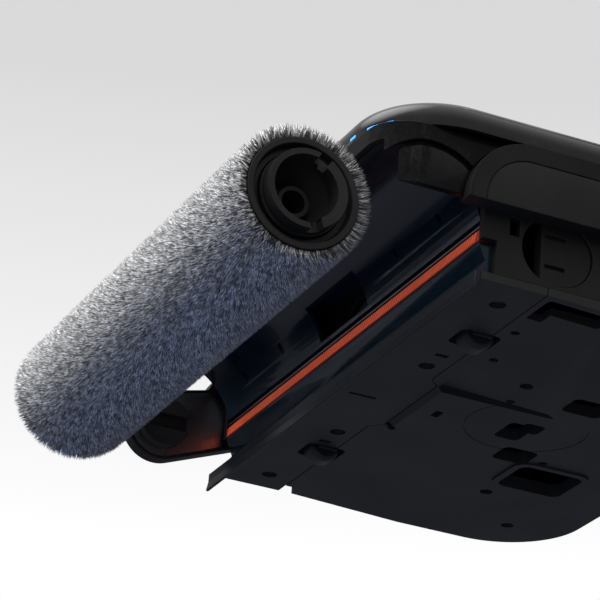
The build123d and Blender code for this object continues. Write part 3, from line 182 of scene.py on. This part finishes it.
def smudge_group():
    """Wiped film on gloss: long faint streaks and finger marks, as a mask."""
    tree, given, out = new_group("smudges", {"Scale": 18.0}, {"Mask": "NodeSocketFloat"})
    place = add_node(tree, "ShaderNodeTexCoord").outputs["Object"]
    stretched = add_node(tree, "ShaderNodeMapping", Vector=place)
    stretched.inputs["Scale"].default_value = (1.0, 3.0, 2.0)
    broad = noise(tree, stretched.outputs["Vector"], given.outputs["Scale"], 5.0, 0.6)
    fine = noise(tree, stretched.outputs["Vector"], 240.0, 2.0, 0.5)
    mixed = math_node(tree, "MULTIPLY", ramp(tree, broad, 0.45, 0.7), ramp(tree, fine, 0.3, 0.8))
    tree.links.new(mixed, out.inputs["Mask"])
    return tree


GRAIN = grain_group()
WEAR = wear_group()
SMUDGE = smudge_group()


def use_group(tree, group, **values):
    """A group placed in a material with its own values; gives its outputs."""
    node = tree.nodes.new("ShaderNodeGroup")
    node.node_tree = group
    for name, value in values.items():
        node.inputs[name].default_value = value
    return node.outputs


def new_material(name):
    """A material, its node tree and its shader."""
    material = bpy.data.materials.new(name)
    material.use_nodes = True
    return material, material.node_tree, material.node_tree.nodes["Principled BSDF"]


def shade(level, warm=0.0):
    """A grey, or a grey turned a little warm."""
    return (level * (1 + warm), level, level * (1 - warm), 1.0)


def lighter(colour, amount):
    """The colour with the same amount added to each part."""
    return tuple(min(1.0, c + amount) for c in colour[:3]) + (1.0,)


def bump(tree, shader, height, strength, distance):
    """Fine relief on a shader from a height."""
    node = add_node(tree, "ShaderNodeBump", Height=height, Strength=strength, Distance=distance)
    tree.links.new(node.outputs["Normal"], shader.inputs["Normal"])


# ---- Finishes -----------------------------------------------------------------------------------
def moulded(name, colour, roughness=0.5, grain=900.0, depth=0.00006, wear=0.25, specular=0.4):
    """Textured moulded plastic: grain, slow mottling and slightly polished edges."""
    material, tree, shader = new_material(name)
    texture = use_group(tree, GRAIN, Scale=grain, Drift=22.0)
    rubbed = use_group(tree, WEAR, Width=0.0006, Amount=wear)["Mask"]
    tone = blend_colour(tree, texture["Mottle"], colour, lighter(colour, 0.006))
    tone = blend_colour(tree, rubbed, tone, lighter(colour, 0.05))
    tree.links.new(tone, shader.inputs["Base Color"])
    level = ramp(tree, texture["Mottle"], 0.0, 1.0, roughness - 0.06, roughness + 0.06)
    level = math_node(tree, "SUBTRACT", level, math_node(tree, "MULTIPLY", rubbed, 0.25), clamp=True)
    tree.links.new(level, shader.inputs["Roughness"])
    shader.inputs["Specular IOR Level"].default_value = specular
    bump(tree, shader, texture["Height"], 0.5, depth)
    return material


def gloss(name, colour, roughness=0.07, coat=0.6, specular=0.5):
    """Polished plastic with a faint orange peel and wiped film."""
    material, tree, shader = new_material(name)
    film = use_group(tree, SMUDGE, Scale=16.0)["Mask"]
    tone = blend_colour(tree, film, colour, lighter(colour, 0.012))
    tree.links.new(tone, shader.inputs["Base Color"])
    tree.links.new(ramp(tree, film, 0.0, 1.0, roughness, roughness + 0.22), shader.inputs["Roughness"])
    shader.inputs["Specular IOR Level"].default_value = specular
    shader.inputs["Coat Weight"].default_value = coat
    shader.inputs["Coat Roughness"].default_value = 0.03
    place = add_node(tree, "ShaderNodeTexCoord").outputs["Object"]
    bump(tree, shader, noise(tree, place, 320.0, 1.0), 0.15, 0.00003)
    return material


def metal(name, colour, roughness=0.3, along="X"):
    """Turned or drawn metal, its fine lines running along one axis."""
    material, tree, shader = new_material(name)
    place = add_node(tree, "ShaderNodeTexCoord").outputs["Object"]
    lines = add_node(tree, "ShaderNodeMapping", Vector=place)
    scale = (20.0, 1600.0, 1600.0) if along == "X" else (1600.0, 1600.0, 20.0)
    lines.inputs["Scale"].default_value = scale
    streak = noise(tree, lines.outputs["Vector"], 1.0, 3.0, 0.6)
    tree.links.new(blend_colour(tree, streak, colour, lighter(colour, 0.12)), shader.inputs["Base Color"])
    level = ramp(tree, streak, 0.2, 0.8, roughness - 0.1, roughness + 0.12)
    tree.links.new(level, shader.inputs["Roughness"])
    shader.inputs["Metallic"].default_value = 1.0
    bump(tree, shader, streak, 0.25, 0.00002)
    return material


def clear(name, tint, roughness=0.05):
    """Transparent tank plastic with wiping marks and a few dried droplets."""
    material, tree, shader = new_material(name)
    film = use_group(tree, SMUDGE, Scale=12.0)["Mask"]
    place = add_node(tree, "ShaderNodeTexCoord").outputs["Object"]
    drops = add_node(tree, "ShaderNodeTexVoronoi", Vector=place, Scale=160.0)
    spots = ramp(tree, drops.outputs["Distance"], 0.12, 0.05)
    tree.links.new(blend_colour(tree, film, tint, lighter(tint, 0.04)), shader.inputs["Base Color"])
    marks = math_node(tree, "MAXIMUM", film, math_node(tree, "MULTIPLY", spots, 0.5))
    tree.links.new(ramp(tree, marks, 0.0, 1.0, roughness, roughness + 0.25), shader.inputs["Roughness"])
    shader.inputs["Transmission Weight"].default_value = 1.0
    shader.inputs["IOR"].default_value = 1.45
    return material


def glowing(name, colour, strength):
    """A lit lens, uneven over its face."""
    material, tree, shader = new_material(name)
    place = add_node(tree, "ShaderNodeTexCoord").outputs["Object"]
    patches = ramp(tree, noise(tree, place, 120.0, 2.0), 0.3, 0.7, 0.35, 1.0)
    lit = blend_colour(tree, patches, shade(0.0), colour)
    tree.links.new(lit, shader.inputs["Emission Color"])
    shader.inputs["Emission Strength"].default_value = strength
    shader.inputs["Base Color"].default_value = colour
    shader.inputs["Roughness"].default_value = 0.25
    return material


FINISHES = {
    "matte_black": moulded("matte_black", shade(0.009), 0.46, specular=0.25, wear=0.2),
    "sole_black": moulded(
        "sole_black", (0.0150, 0.0150, 0.0158, 1), 0.42, grain=700.0, wear=0.3, specular=0.35
    ),
    "gloss_black": gloss("gloss_black", shade(0.004)),
    "liner_gloss": gloss("liner_gloss", (0.003, 0.009, 0.016, 1), 0.14, 0.3),
    "orange_rubber": moulded(
        "orange_rubber", (0.90, 0.15, 0.06, 1), 0.42, grain=1800.0, depth=0.0002, wear=0.1
    ),
    "silver_trim": metal("silver_trim", shade(0.72), 0.18),
    "blade_rubber": gloss("blade_rubber", (0.008, 0.009, 0.013, 1), 0.35, 0.0),
    "led_blue": glowing("led_blue", (0.05, 0.30, 0.95, 1), 1.6),
    "cap_black": moulded("cap_black", shade(0.012), 0.42, wear=0.3),
    "core_plastic": moulded("core_plastic", shade(0.09), 0.5),
    "steel": metal("steel", shade(0.48), 0.32),
    "belt_rubber": moulded("belt_rubber", shade(0.012), 0.7, grain=2200.0, wear=0.0),
    "tyre": moulded("tyre", shade(0.018), 0.75, grain=1500.0, depth=0.00012),
    "wheel_grey": moulded("wheel_grey", shade(0.07), 0.4),
    "body_graphite": moulded("body_graphite", (0.035, 0.037, 0.042, 1), 0.42, grain=1100.0),
    "tank_clear": clear("tank_clear", (0.80, 0.88, 0.93, 1)),
    "tank_smoke": clear("tank_smoke", (0.20, 0.22, 0.25, 1)),
    "filter_white": moulded("filter_white", shade(0.72, 0.02), 0.85, grain=1400.0, wear=0.0),
    "battery_blue": gloss("battery_blue", (0.03, 0.09, 0.28, 1), 0.3, 0.0),
    "board_green": gloss("board_green", (0.01, 0.12, 0.05, 1), 0.3, 0.1),
    "alloy": metal("alloy", shade(0.60), 0.28, along="Z"),
    "grip_rubber": moulded("grip_rubber", shade(0.025), 0.6, grain=1300.0, depth=0.0001),
    "display_glass": gloss("display_glass", shade(0.006), 0.04, 1.0),
    # painted shade: a darker copy of the orange rubber, so the gaps between the strip's ribs read as shaded
    "orange_painted_gap_shade": moulded("orange_painted_gap_shade", (0.36, 0.030, 0.014, 1), 0.5, grain=1800.0, depth=0.0002, wear=0.0),
    "cover_satin": moulded("cover_satin", (0.018, 0.019, 0.022, 1), 0.34, grain=600.0),
    "sign_white": moulded("sign_white", shade(0.72), 0.5, wear=0.0),
    "caster_black": moulded("caster_black", shade(0.010), 0.28, grain=500.0, specular=0.5),
    "cheek_gloss": gloss("cheek_gloss", shade(0.003), 0.2, 0.0, 0.22),
}
OWN_FINISH = {
    # the strip takes the darker painted-shade copy of its rubber; its ribs keep the lighter orange
    "scraper_strip": "orange_painted_gap_shade",
    "cheek_plate": "cheek_gloss",
    "visor_skirt": "cheek_gloss",
    "caster_wheel_left": "caster_black",
    "caster_wheel_right": "caster_black",
}


# ---- Pieces -------------------------------------------------------------------------------------
SMOOTH_UNDER = 32.0
MERGE_DISTANCE = 1e-6
FLAT_WITHIN = math.radians(0.5)
EDGE_EASE = 0.0003
EASE_ANGLE = math.radians(40)


def finish_mesh(bm, name, material, body, angle=SMOOTH_UNDER):
    """The mesh as a finished piece, riding on a body."""
    mesh = bpy.data.meshes.new(name)
    bm.to_mesh(mesh)
    bm.free()
    mesh.materials.append(material)
    mesh.polygons.foreach_set("use_smooth", [True] * len(mesh.polygons))
    mesh.set_sharp_from_angle(angle=math.radians(angle))
    piece = bpy.data.objects.new(name, mesh)
    bpy.context.scene.collection.objects.link(piece)
    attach(piece, body)
    return piece


def ease_edges(piece, width):
    """Round off the sharp edges of a piece."""
    ease = piece.modifiers.new("eased", "BEVEL")
    ease.width = width
    ease.segments = 2
    ease.limit_method = "ANGLE"
    ease.angle_limit = EASE_ANGLE


def finished_copy(node):
    """A merged copy of a CAD node with eased edges, in its own finish or its slot's, standing for it."""
    bm = bmesh.new()
    bm.from_mesh(frame["nodes"][node].data)
    bmesh.ops.remove_doubles(bm, verts=bm.verts, dist=MERGE_DISTANCE)
    bmesh.ops.dissolve_limit(bm, angle_limit=FLAT_WITHIN, verts=bm.verts, edges=bm.edges)
    finish = FINISHES[OWN_FINISH.get(node, SLOT_OF[node])]
    piece = finish_mesh(bm, node + "_shown", finish, BODY_OF[node])
    ease_edges(piece, EDGE_EASE)
    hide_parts(node)


# ---- Roller pile --------------------------------------------------------------------------------
PILE_SECTORS = 24
PILE_LENGTHS = 6
FIBRES = 1000
FIBRE_R = 0.00050
FIBRE_SHARE = (0.78, 0.945)  # a fibre's length, as a share of the pile's depth
ROOT_LIFT = 0.0004  # gap between the tube and the middle of a fibre's root
COMBED = 0.06
ROUND_SPREAD = 0.22
ALONG_SPREAD = 0.24
END_FLARE = 0.35
FLARE_REACH = 0.006
PILE_SEED = 40


def pile_material():
    """Fibres pale at the tip, each its own shade, with painted shade darkening them towards the root."""
    material, tree, shader = new_material("pile_fibre")
    place = add_node(tree, "ShaderNodeTexCoord").outputs["Object"]
    centred = add_node(tree, "ShaderNodeMapping", Vector=place)
    centred.inputs["Location"].default_value = (0, -ROLLER_AXIS.y, -ROLLER_AXIS.z)
    _, y, z = add_node(tree, "ShaderNodeSeparateXYZ", Vector=centred.outputs["Vector"]).outputs
    squares = math_node(tree, "ADD", math_node(tree, "POWER", y, 2.0), math_node(tree, "POWER", z, 2.0))
    # painted shade: a ramp by distance from the axis darkens the fibres towards the tube, standing in for
    # shade deep in the pile
    up = ramp(tree, math_node(tree, "SQRT", squares), CORE_R - 0.001, CORE_R + 0.004)
    own = add_node(tree, "ShaderNodeNewGeometry").outputs["Random Per Island"]
    clumps = ramp(tree, noise(tree, place, 420.0, 3.0, 0.6), 0.38, 0.58, 0.22, 1.0)
    pale = math_node(tree, "MULTIPLY", ramp(tree, own, 0.25, 0.70, 0.03, 1.0), clumps)
    tone = blend_colour(tree, pale, (0.03, 0.031, 0.035, 1), (0.95, 0.95, 0.95, 1))
    # the painted shade near the tube is laid over each fibre's own tone
    tone = blend_colour(tree, up, (0.006, 0.006, 0.008, 1), tone)
    tree.links.new(tone, shader.inputs["Base Color"])
    shader.inputs["Roughness"].default_value = 0.6
    shader.inputs["Sheen Weight"].default_value = 0.2
    return material


def lean(way, x, rng):
    """Direction of a fibre that starts out along way: combed a little round, and out past each end."""
    side = Vector((1, 0, 0)).cross(way)
    reach = ROLLER_END - abs(x)
    flare = max(0.0, 1 - reach / FLARE_REACH) * END_FLARE * (1 if x > 0 else -1)
    across = side * rng.gauss(COMBED, ROUND_SPREAD)
    along = Vector((flare + rng.gauss(0.0, ALONG_SPREAD), 0, 0))
    return (way + across + along).normalized()


def pile_length(index, material):
    """One length of the pile: a random sector, spun round the axis."""
    rng = random.Random(PILE_SEED + index)
    span = (pile_high.x - pile_low.x) / PILE_LENGTHS
    x0 = pile_low.x + index * span
    bm = bmesh.new()
    for _ in range(FIBRES):
        x = x0 + rng.random() * span
        angle = rng.random() * math.tau / PILE_SECTORS
        way = Vector((0, math.cos(angle), math.sin(angle)))
        root = Vector((x, ROLLER_AXIS.y, ROLLER_AXIS.z)) + way * (CORE_R + ROOT_LIFT)
        heading = lean(way, x, rng)
        length = (ROLLER_R - CORE_R) * rng.uniform(*FIBRE_SHARE)
        turn = heading.to_track_quat("Z", "Y").to_matrix().to_4x4()
        place = Matrix.Translation(root + heading * length / 2) @ turn
        bmesh.ops.create_cone(
            bm, cap_ends=False, segments=3, radius1=FIBRE_R, radius2=0.0, depth=length, matrix=place
        )
    bmesh.ops.spin(
        bm,
        geom=bm.verts[:] + bm.edges[:] + bm.faces[:],
        cent=(0, ROLLER_AXIS.y, ROLLER_AXIS.z),
        axis=(1, 0, 0),
        dvec=(0, 0, 0),
        angle=math.tau * (PILE_SECTORS - 1) / PILE_SECTORS,
        steps=PILE_SECTORS - 1,
        use_duplicate=True,
    )
    return finish_mesh(bm, f"roller_pile_{index + 1}", material, "roller", angle=180)


def roller_pile():
    """The lengths of pile side by side, with the CAD pile hidden."""
    material = pile_material()
    pieces = [pile_length(index, material) for index in range(PILE_LENGTHS)]
    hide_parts("roller_pile")


# ---- Scraper ribs -------------------------------------------------------------------------------
RIB_PITCH = 0.0022
RIB_WIDE = RIB_PITCH * 0.55
RIB_THICK = 0.0005
RIB_PROUD = 0.00008
RIB_SLANT = 0.55
STRIP_EDGES = 0.0008
STRIP_ENDS = 0.003


def strip_ribs():
    """Slanted ribs along the scraper strip's face."""
    low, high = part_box("scraper_strip")
    middle = (low + high) / 2
    tall = high.z - low.z - STRIP_EDGES
    bm = bmesh.new()
    count = int((high.x - low.x - STRIP_ENDS) / RIB_PITCH)
    for k in range(count):
        x = middle.x + (k - (count - 1) / 2) * RIB_PITCH
        shape = Matrix.Diagonal((RIB_WIDE, RIB_THICK, tall, 1))
        shape[0][2] = tall * RIB_SLANT
        place = Matrix.Translation((x, low.y + RIB_PROUD, middle.z))
        bmesh.ops.create_cube(bm, size=1.0, matrix=place @ shape)
    # the ribs keep the lighter orange, standing out against the strip's darker painted-shade copy of the same
    # rubber
    finish_mesh(bm, "strip_ribs", FINISHES["orange_rubber"], "head")


# ---- Small details ------------------------------------------------------------------------------
SIGN_THICK = 0.0001
SIGN_LIFT = 0.00002
DROP_STEPS = 24
CORNER_STEPS = 32


def bar(bm, centre, size, turn=0.0, axis="Z"):
    """A block in a mesh, turned about its own centre."""
    shape = Matrix.Translation(centre) @ Matrix.Rotation(turn, 4, axis) @ Matrix.Diagonal((*size, 1))
    bmesh.ops.create_cube(bm, size=1.0, matrix=shape)


def ring_bars(bm, centre, radius, size, count, first, last, axis):
    """Blocks set round an arc, their long sides along it; axis is the way the arc faces."""
    for k in range(count):
        angle = first + (last - first) * k / (count - 1)
        if axis == "Z":
            place = Vector((math.cos(angle), math.sin(angle), 0)) * radius
            bar(bm, Vector(centre) + place, size, angle + math.pi / 2, "Z")
        else:
            place = Vector((math.cos(angle), 0, math.sin(angle))) * radius
            bar(bm, Vector(centre) + place, size, -angle + math.pi / 2, "Y")


def plate(bm, centre, outline, thick, axis):
    """An outline given thickness along an axis, half to each side of its centre."""
    centre = Vector(centre)
    if axis == "Z":
        deep = Vector((0, 0, thick))
        corners = [Vector((u, v, 0)) for u, v in outline]
    else:
        deep = Vector((0, thick, 0))
        corners = [Vector((u, 0, v)) for u, v in outline]
    face = bm.faces.new([bm.verts.new(centre + corner - deep / 2) for corner in corners])
    grown = bmesh.ops.extrude_face_region(bm, geom=[face])
    moved = [item for item in grown["geom"] if isinstance(item, bmesh.types.BMVert)]
    bmesh.ops.translate(bm, verts=moved, vec=deep)
    bmesh.ops.recalc_face_normals(bm, faces=bm.faces)


def drop_shape(bm, centre, radius, axis):
    """A water drop as a thin plate: a round body with a pointed top."""
    outline = []
    for k in range(DROP_STEPS + 1):
        angle = math.radians(150 + 240 * k / DROP_STEPS)
        outline.append((radius * math.cos(angle), radius * math.sin(angle)))
    outline.append((0.0, radius * 2.0))
    plate(bm, centre, outline, SIGN_THICK, axis)


def rounded_plate(bm, centre, size, corner):
    """A plate facing along Y with rounded corners."""
    wide, thick, tall = size
    outline = []
    for k in range(CORNER_STEPS):
        angle = math.tau * (k + 0.5) / CORNER_STEPS
        u = math.copysign(wide / 2 - corner, math.cos(angle)) + corner * math.cos(angle)
        v = math.copysign(tall / 2 - corner, math.sin(angle)) + corner * math.sin(angle)
        outline.append((u, v))
    plate(bm, centre, outline, thick, "Y")


def display_signs():
    """White segments round a ring, a lit drop and a row of level bars on the display."""
    low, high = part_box("display_lens")
    x, y, z = (low + high) / 2
    z = high.z + SIGN_LIFT
    radius = (high.x - low.x) / 2
    bm = bmesh.new()
    size = (0.0030, 0.0014, SIGN_THICK)
    ring_bars(bm, (x, y, z), radius * 0.78, size, 27, math.radians(-120), math.radians(110), "Z")
    for k in range(4):
        bar(bm, (x + (k - 1.5) * 0.0034, y - 0.0088, z), (0.0022, 0.0014 + 0.0011 * k, SIGN_THICK))
    finish_mesh(bm, "display_ring", FINISHES["sign_white"], "upright")
    bm = bmesh.new()
    drop_shape(bm, (x, y - 0.001, z), 0.0052, "Z")
    finish_mesh(bm, "display_drop", FINISHES["led_blue"], "upright")


def button_signs():
    """A ring with a gap and a stroke on one key, a drop on the other."""
    low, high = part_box("power_button")
    x, _, z = (low + high) / 2
    front = high.y + SIGN_LIFT
    bm = bmesh.new()
    around = (math.radians(120), math.radians(420))
    ring_bars(bm, (x, front, z), 0.0030, (0.0009, SIGN_THICK, 0.0006), 22, *around, "Y")
    bar(bm, (x, front, z + 0.0026), (0.0007, SIGN_THICK, 0.0030))
    finish_mesh(bm, "power_sign", FINISHES["sign_white"], "power_key")
    low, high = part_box("mode_button")
    x, _, z = (low + high) / 2
    bm = bmesh.new()
    drop_shape(bm, (x, high.y + SIGN_LIFT, z - 0.0008), 0.0022, "Y")
    finish_mesh(bm, "mode_sign", FINISHES["sign_white"], "mode_key")


MARKS = 7
MARK_PROUD = 0.0004
LONG_MARK = 0.022
SHORT_MARK = 0.012


def tank_marks(node, body, name):
    """Raised level lines on both sides of a tank, with an upright line beside them."""
    low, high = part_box(node)
    tall = high.z - low.z
    y = low.y + (high.y - low.y) * 0.62
    bm = bmesh.new()
    for side in (low.x, high.x):
        for k in range(MARKS):
            length = LONG_MARK if k in (0, MARKS - 1) else SHORT_MARK
            bar(bm, (side, y, low.z + tall * (0.16 + 0.11 * k)), (MARK_PROUD, length, 0.0009))
        upright_z = (low.z + high.z) / 2 - tall * 0.01
        bar(bm, (side, y - 0.014, upright_z), (MARK_PROUD, 0.0008, tall * 0.66))
    finish_mesh(bm, name, FINISHES["sign_white"], body)


def round_head(bm, centre, radius, thick):
    """A screw's head facing along Y."""
    turn = Matrix.Rotation(math.pi / 2, 4, "X")
    bmesh.ops.create_cone(
        bm,
        cap_ends=True,
        segments=24,
        radius1=radius,
        radius2=radius * 0.85,
        depth=thick,
        matrix=Matrix.Translation(centre) @ turn,
    )


COVER_SIZE = (0.056, 0.0014, 0.50)
COVER_CORNER = 0.012
COVER_EASE = 0.0004
LOUVRES = 11
LOUVRE_PITCH = 0.0075
LOUVRE_SIZE = (0.036, 0.0010, 0.0032)
LOUVRE_CORNER = 0.0015
SCREW_X = 0.020
SCREW_HEAD_R = 0.0032
SCREW_SLOT = (0.0040, 0.0003, 0.0007)


def spine_back():
    """A thin cover on the spine's back, its screws, and louvres over the motor."""
    low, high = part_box("spine_housing")
    middle = (low.z + high.z) / 2
    bm = bmesh.new()
    rounded_plate(bm, (0, high.y, middle + 0.01), COVER_SIZE, COVER_CORNER)
    cover = finish_mesh(bm, "spine_cover", FINISHES["cover_satin"], "upright")
    ease_edges(cover, COVER_EASE)
    bm = bmesh.new()
    for k in range(LOUVRES):
        place = (0, high.y + 0.0009, middle - 0.09 + LOUVRE_PITCH * k)
        rounded_plate(bm, place, LOUVRE_SIZE, LOUVRE_CORNER)
    finish_mesh(bm, "spine_louvres", FINISHES["gloss_black"], "upright")
    bm = bmesh.new()
    for x in (-SCREW_X, SCREW_X):
        for z in (middle - 0.222, middle + 0.242):
            round_head(bm, (x, high.y + 0.0009, z), SCREW_HEAD_R, 0.0008)
            bar(bm, (x, high.y + 0.0014, z), SCREW_SLOT)
            bar(bm, (x, high.y + 0.0014, z), SCREW_SLOT[::-1])
    finish_mesh(bm, "spine_screws", FINISHES["steel"], "upright")


# ---- Stage --------------------------------------------------------------------------------------
FLOOR_SIZE = 12.0
FLOOR_FADE = (0.5, 1.6)
HIGHLIGHT_WAY = (-0.25, -0.45, 0.857)


def add_floor():
    """A pale floor, fading out, that only the camera sees, and only from above: light reaches the sole."""
    bm = bmesh.new()
    bmesh.ops.create_grid(bm, x_segments=1, y_segments=1, size=FLOOR_SIZE / 2)
    mesh = bpy.data.meshes.new("floor")
    bm.to_mesh(mesh)
    bm.free()
    material = bpy.data.materials.new("floor_pale")
    material.use_nodes = True
    tree = material.node_tree
    tree.nodes.clear()
    paper = add_node(tree, "ShaderNodeBsdfDiffuse", Color=(0.82, 0.82, 0.82, 1))
    unseen = add_node(tree, "ShaderNodeBsdfTransparent")
    seen = add_node(tree, "ShaderNodeLightPath").outputs["Is Camera Ray"]
    under = add_node(tree, "ShaderNodeNewGeometry").outputs["Backfacing"]
    place = add_node(tree, "ShaderNodeTexCoord").outputs["Object"]
    away = add_node(tree, "ShaderNodeVectorMath", in_0=place)
    away.operation = "LENGTH"
    near = ramp(tree, away.outputs["Value"], *FLOOR_FADE, 1.0, 0.0)
    shown = math_node(tree, "MULTIPLY", seen, math_node(tree, "SUBTRACT", 1.0, under))
    shown = math_node(tree, "MULTIPLY", shown, near)
    both = add_node(tree, "ShaderNodeMixShader", in_0=shown, in_1=unseen.outputs[0], in_2=paper.outputs[0])
    out = tree.nodes.new("ShaderNodeOutputMaterial")
    tree.links.new(both.outputs[0], out.inputs["Surface"])
    mesh.materials.append(material)
    floor = bpy.data.objects.new("floor", mesh)
    bpy.context.scene.collection.objects.link(floor)


def add_world():
    """A bright backdrop for the camera, and dim surroundings with one bright patch for the gloss."""
    world = bpy.data.worlds.new("studio")
    bpy.context.scene.world = world
    world.use_nodes = True
    tree = world.node_tree
    sky = tree.nodes["Background"]
    way = add_node(tree, "ShaderNodeTexCoord").outputs["Generated"]
    height = add_node(tree, "ShaderNodeSeparateXYZ", Vector=way).outputs["Z"]
    backdrop = blend_colour(tree, ramp(tree, height, 0.34, 0.47), shade(1.0), shade(0.70))
    low = blend_colour(tree, ramp(tree, height, -0.6, 0.1), (0.125, 0.13, 0.15, 1), (0.09, 0.09, 0.10, 1))
    glow = blend_colour(tree, ramp(tree, height, 0.3, 0.95), low, shade(0.7))
    facing = tree.nodes.new("ShaderNodeVectorMath")
    facing.operation = "DOT_PRODUCT"
    tree.links.new(way, facing.inputs[0])
    facing.inputs[1].default_value = HIGHLIGHT_WAY
    glow = blend_colour(tree, ramp(tree, facing.outputs["Value"], 0.86, 0.98), glow, shade(2.4))
    seen = add_node(tree, "ShaderNodeLightPath").outputs["Is Camera Ray"]
    tree.links.new(blend_colour(tree, seen, glow, backdrop), sky.inputs["Color"])
    sky.inputs["Strength"].default_value = 1.0


def add_softbox(name, place, aim, size, power, tint=(1, 1, 1)):
    """A rectangular lamp aimed at a point and left out of reflections."""
    data = bpy.data.lights.new(name, "AREA")
    data.shape = "RECTANGLE"
    data.size, data.size_y = size
    data.energy = power
    data.color = tint
    light = bpy.data.objects.new(name, data)
    light.location = place
    light.visible_glossy = False
    light.rotation_euler = (Vector(aim) - Vector(place)).to_track_quat("-Z", "Y").to_euler()
    bpy.context.scene.collection.objects.link(light)


def add_lights():
    """A key from the front, a fill from below, and lamps for the roller, its end and the body."""
    head = (0.0, -0.02, 0.04)
    add_softbox("key", (-0.3, -1.5, 1.1), head, (1.3, 1.3), 50)
    add_softbox("fill", (1.5, -0.9, -1.1), head, (1.8, 1.2), 4.5)
    add_softbox("cool", (0.05, -0.26, -0.30), (0.0, -0.17, 0.03), (0.3, 0.06), 0.16, (0.12, 0.32, 1.0))
    add_softbox("end", (1.3, -0.5, 0.45), (0.1, -0.16, 0.03), (0.5, 0.5), 5.0)
    add_softbox("body", (0.9, -1.6, 1.5), (0, 0.13, 0.6), (1.0, 1.0), 20)


# ---- Assembly -----------------------------------------------------------------------------------
bpy.context.scene.view_settings.view_transform = "Standard"
add_camera()
add_world()
add_floor()
add_lights()
roller_pile()
strip_ribs()
display_signs()
button_signs()
tank_marks("clean_tank", "clean_tank_body", "clean_tank_marks")
tank_marks("dirty_tank", "dirty_tank_body", "dirty_tank_marks")
spine_back()
for node in sorted(frame["nodes"]):
    if node != "roller_pile":
        finished_copy(node)
